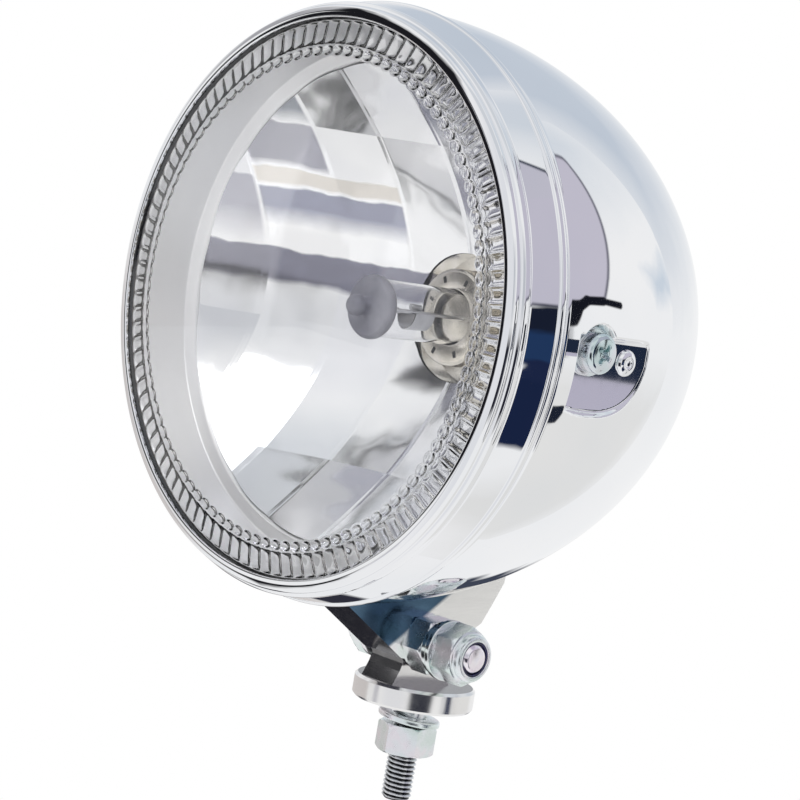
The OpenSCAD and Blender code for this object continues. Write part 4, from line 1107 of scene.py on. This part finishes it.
threaded("pivot_bolt_shank", PIVOT, "x", THREAD_R, 0.5, PITCH, EAR_X, BOLT_END, "lamp",
         bolt_zinc, ("pivot_bolt",), [(THREAD_R, -12.5), (THREAD_R, 8.6)])
hexagon("pivot_bolt_head", on_bolt(-EAR_X - WASHER_T - HEAD_T), "x", ACROSS_FLATS, HEAD_T, 0.1, *zinc_on_lamp,
        turn=0.2)

# %% [markdown]
# The stud hangs from the foot and carries a nut. Its washer lies loose on the nut and a little askew, up
# on the left, so it is turned like the others but placed on a slanted plane.

# %% Foot nut, washer and stud
FOOT_NUT_Z, FOOT_NUT_H, FOOT_WASHER_UP, FOOT_WASHER_TILT = 0.3, 9.6, 1.0, 0.1


def on_tilted_washer(r, s, a):
    fall = FOOT_WASHER_TILT * r * (0.68 * math.cos(a) + 0.73 * math.sin(a))
    up = FOOT_NUT_Z + FOOT_NUT_H + FOOT_WASHER_UP + s - fall
    return Vector((r * math.cos(a), r * math.sin(a), up)) * MM


spun("foot_washer_ring", rounded([(5.4, 0), (10.3, 0), (10.3, 2), (5.4, 2)], 0.7, 5), "foot",
     nut_zinc, ("foot_washer",), 96, on_tilted_washer)
hexagon("foot_nut_body", (0, 0, FOOT_NUT_Z), "z", ACROSS_FLATS, FOOT_NUT_H, NUT_BORE, "foot", "bright_zinc",
        nut_zinc, ("foot_nut",), turn=-0.39)
threaded("stud_thread", (0, 0, 0), "z", THREAD_R, 0.75, PITCH, 11.9, -15.5, "foot", stud_zinc,
         ("stud",), [(THREAD_R, 23.0), (THREAD_R, 12.3)])

# %% [markdown]
# ## Side screws
# Each side of the lamp has a pan-head screw with a cross recess, in a round bay of its pocket. Under its
# head lie a spring washer and a flat washer. A boolean would cut the recess with hard edges, and a bump
# would look flat from the side. The head's face is therefore a fine grid, and the recess is pressed into
# it, so its four wings have slanted walls and soft edges.

# %% Form of a screw head
HEAD_R, HEAD_H, CROWN_R, CROWN_DROP = 6.0, 3.7, 4.2, 0.3
SIDE_FLAT_T, SIDE_SPRING_T = 1.4, 1.6
SHANK_R, SHANK_END = 2.95, -12.0


def cross_depth(u, v):
    """Depth of the cross recess at a place on the head, in millimetres."""
    slot = 1 - ease((min(abs(u), abs(v)) - 0.42) / 0.32)
    reach = 1 - ease((max(abs(u), abs(v)) - 2.5) / 0.75)
    hub = 1 - ease((math.hypot(u, v) - 0.9) / 0.8)
    return 1.9 * max(slot * reach, hub)


def screw_face(r):
    """Height of a pan head over its seat at a radius, in millimetres."""
    if r < CROWN_R:
        return HEAD_H - CROWN_DROP * (r / CROWN_R) ** 2
    t = (r - CROWN_R) / (HEAD_R - CROWN_R)
    return HEAD_H - CROWN_DROP - 1.6 * (1 - math.sqrt(max(0.0, 1 - t * t)))


print("recess depth at the middle:", cross_depth(0, 0), "mm")

# %% [markdown]
# A screw is drawn outwards from its seat on the washers. The two screws aren't turned alike, because
# nobody stops a screw at a certain angle.

# %% Screws and their washers
def side_screw(side, label, turned, nodes):
    count = 96
    angles = [TURN * j / count for j in range(count)]
    radii = [0.15 * k for k in range(1, 28)]
    radii += [CROWN_R + (HEAD_R - CROWN_R) * math.sin(k * math.pi / 20) for k in range(1, 11)]
    points = [(NEAR_AXIS, screw_face(0) - cross_depth(0, 0), a) for a in angles]
    for r in radii:
        for a in angles:
            sunk = cross_depth(r * math.cos(a + turned), r * math.sin(a + turned))
            points.append((r, screw_face(r) - sunk, a))
    under = [(HEAD_R, 1.2), (HEAD_R, 0.3), (5.7, 0.0), (SHANK_R, 0.0), (SHANK_R, SHANK_END),
             (2.6, SHANK_END - 0.4), (NEAR_AXIS, SHANK_END - 0.4)]
    points += [(r, outward, a) for r, outward in under for a in angles]
    seat = FLOOR_X + SIDE_FLAT_T + SIDE_SPRING_T
    middle = Vector((side * seat, SCREW_S - FRONT_OUT, AXIS_UP))
    verts = [(middle + Vector((side * outward, r * math.cos(a), r * math.sin(a)))) * MM
             for r, outward, a in points]
    faces = grid_faces(len(verts) // count, count, False, True)
    add_piece("side_screw_" + label, verts, faces, "lamp", screw_zinc, nodes, 40)


# each right-hand piece stands in for the solids of both sides
side_screw(1, "right", 0.55, ("side_screws",))
side_screw(-1, "left", 0.2, ())
for side, label in ((1, "right"), (-1, "left")):
    flat_x = FLOOR_X if side > 0 else -FLOOR_X - SIDE_FLAT_T
    spring_x = FLOOR_X + SIDE_FLAT_T if side > 0 else -FLOOR_X - SIDE_FLAT_T - SIDE_SPRING_T
    washer("side_washer_" + label, (flat_x, SCREW_S - FRONT_OUT, AXIS_UP), "x", 7.1, 3.3, SIDE_FLAT_T,
           "lamp", "zinc_steel", screw_zinc, ("side_flat_washers",) if side > 0 else (), edge=0.3)
    washer("side_spring_" + label, (spring_x, SCREW_S - FRONT_OUT, AXIS_UP), "x", 5.6, 3.3, SIDE_SPRING_T,
           "lamp", "zinc_steel", zinc_steel, ("side_spring_washers",) if side > 0 else (), edge=0.2,
           gap=(1.2, 0.12, 0.15))

# %% [markdown]
# Behind each screw, a small rivet sits in the pocket's floor. Its domed head has the dimple that its pin
# leaves, and its formed end is inside the shell. Both rivets are one turned profile, and the left one is
# turned with its height reversed, so that each head faces outwards.

# %% Rivets in the pocket floors
RIVET_S, RIVET_DOWN = 51.3, 2.1
rivet_dome = [(0.02, 1.0), (1.1, 1.0), (1.5, 1.35), (2.2, 1.4), (3.2, 1.1), (3.85, 0.5), (4.0, 0.0)]
rivet_end = [(2.4, 0.0), (2.4, -1.0), (3.2, -1.0), (3.2, -2.2), (0.02, -2.2)]


def pocket_rivet(side, label, nodes=()):
    base = placed((side * FLOOR_X, RIVET_S - FRONT_OUT, AXIS_UP - RIVET_DOWN), "x")
    profile = rounded(rivet_dome, 0.2, 3, closed=False) + rivet_end
    spun("pocket_rivet_" + label, profile, "lamp", rim_chrome, nodes, 96,
         lambda r, s, a: base(r, side * s, a))


pocket_rivet(1, "right", ("pocket_rivets",))
pocket_rivet(-1, "left")

# %% [markdown]
# ## Parts that keep their solid shape
# The bracket, the foot, and the small parts behind the reflector already have their true shape in the
# solid model, so building them again would only risk a difference. Folded sheet and castings have small
# rounded edges, which modifiers add, and each part gets its finish.

# %% Edges and finishes of the solid parts
WELD_REACH, EDGE_ANGLE = 0.000002, 30
SOLID_PARTS = [
    # node, finish, edge radius in metres, edge steps
    ("bracket", bracket_chrome, 0.0003, 2),
    ("foot", foot_chrome, 0.0006, 3),
    ("bracket_rivets", zinc_steel, 0.0003, 2),
    ("tab_nuts", zinc_steel, 0.0002, 2),
    ("unit_clips", zinc_steel, 0.0001, 2),
    ("bulb_base", black_plastic_and_shade, 0.0004, 2),
    ("bulb_contacts", bulb_steel, 0.00015, 2),
    ("bulb_clip", zinc_steel, None, None),
    ("dust_boot", black_rubber, 0.0004, 2),
    ("glass_gasket", black_rubber, None, None),
    ("cable_grommet", black_rubber, 0.0004, 2),
]
for name, material, edge, steps in SOLID_PARTS:
    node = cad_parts[name]
    node.data.materials.clear()
    node.data.materials.append(material)
    if edge:
        node.modifiers.new("join", "WELD").merge_threshold = WELD_REACH
        bevel = node.modifiers.new("edge", "BEVEL")
        bevel.width, bevel.segments, bevel.limit_method = edge, steps, "ANGLE"
        bevel.angle_limit = math.radians(EDGE_ANGLE)
        bevel.harden_normals = False
        node.modifiers.new("normals", "WEIGHTED_NORMAL").keep_sharp = True
print("solid parts dressed:", len(SOLID_PARTS))
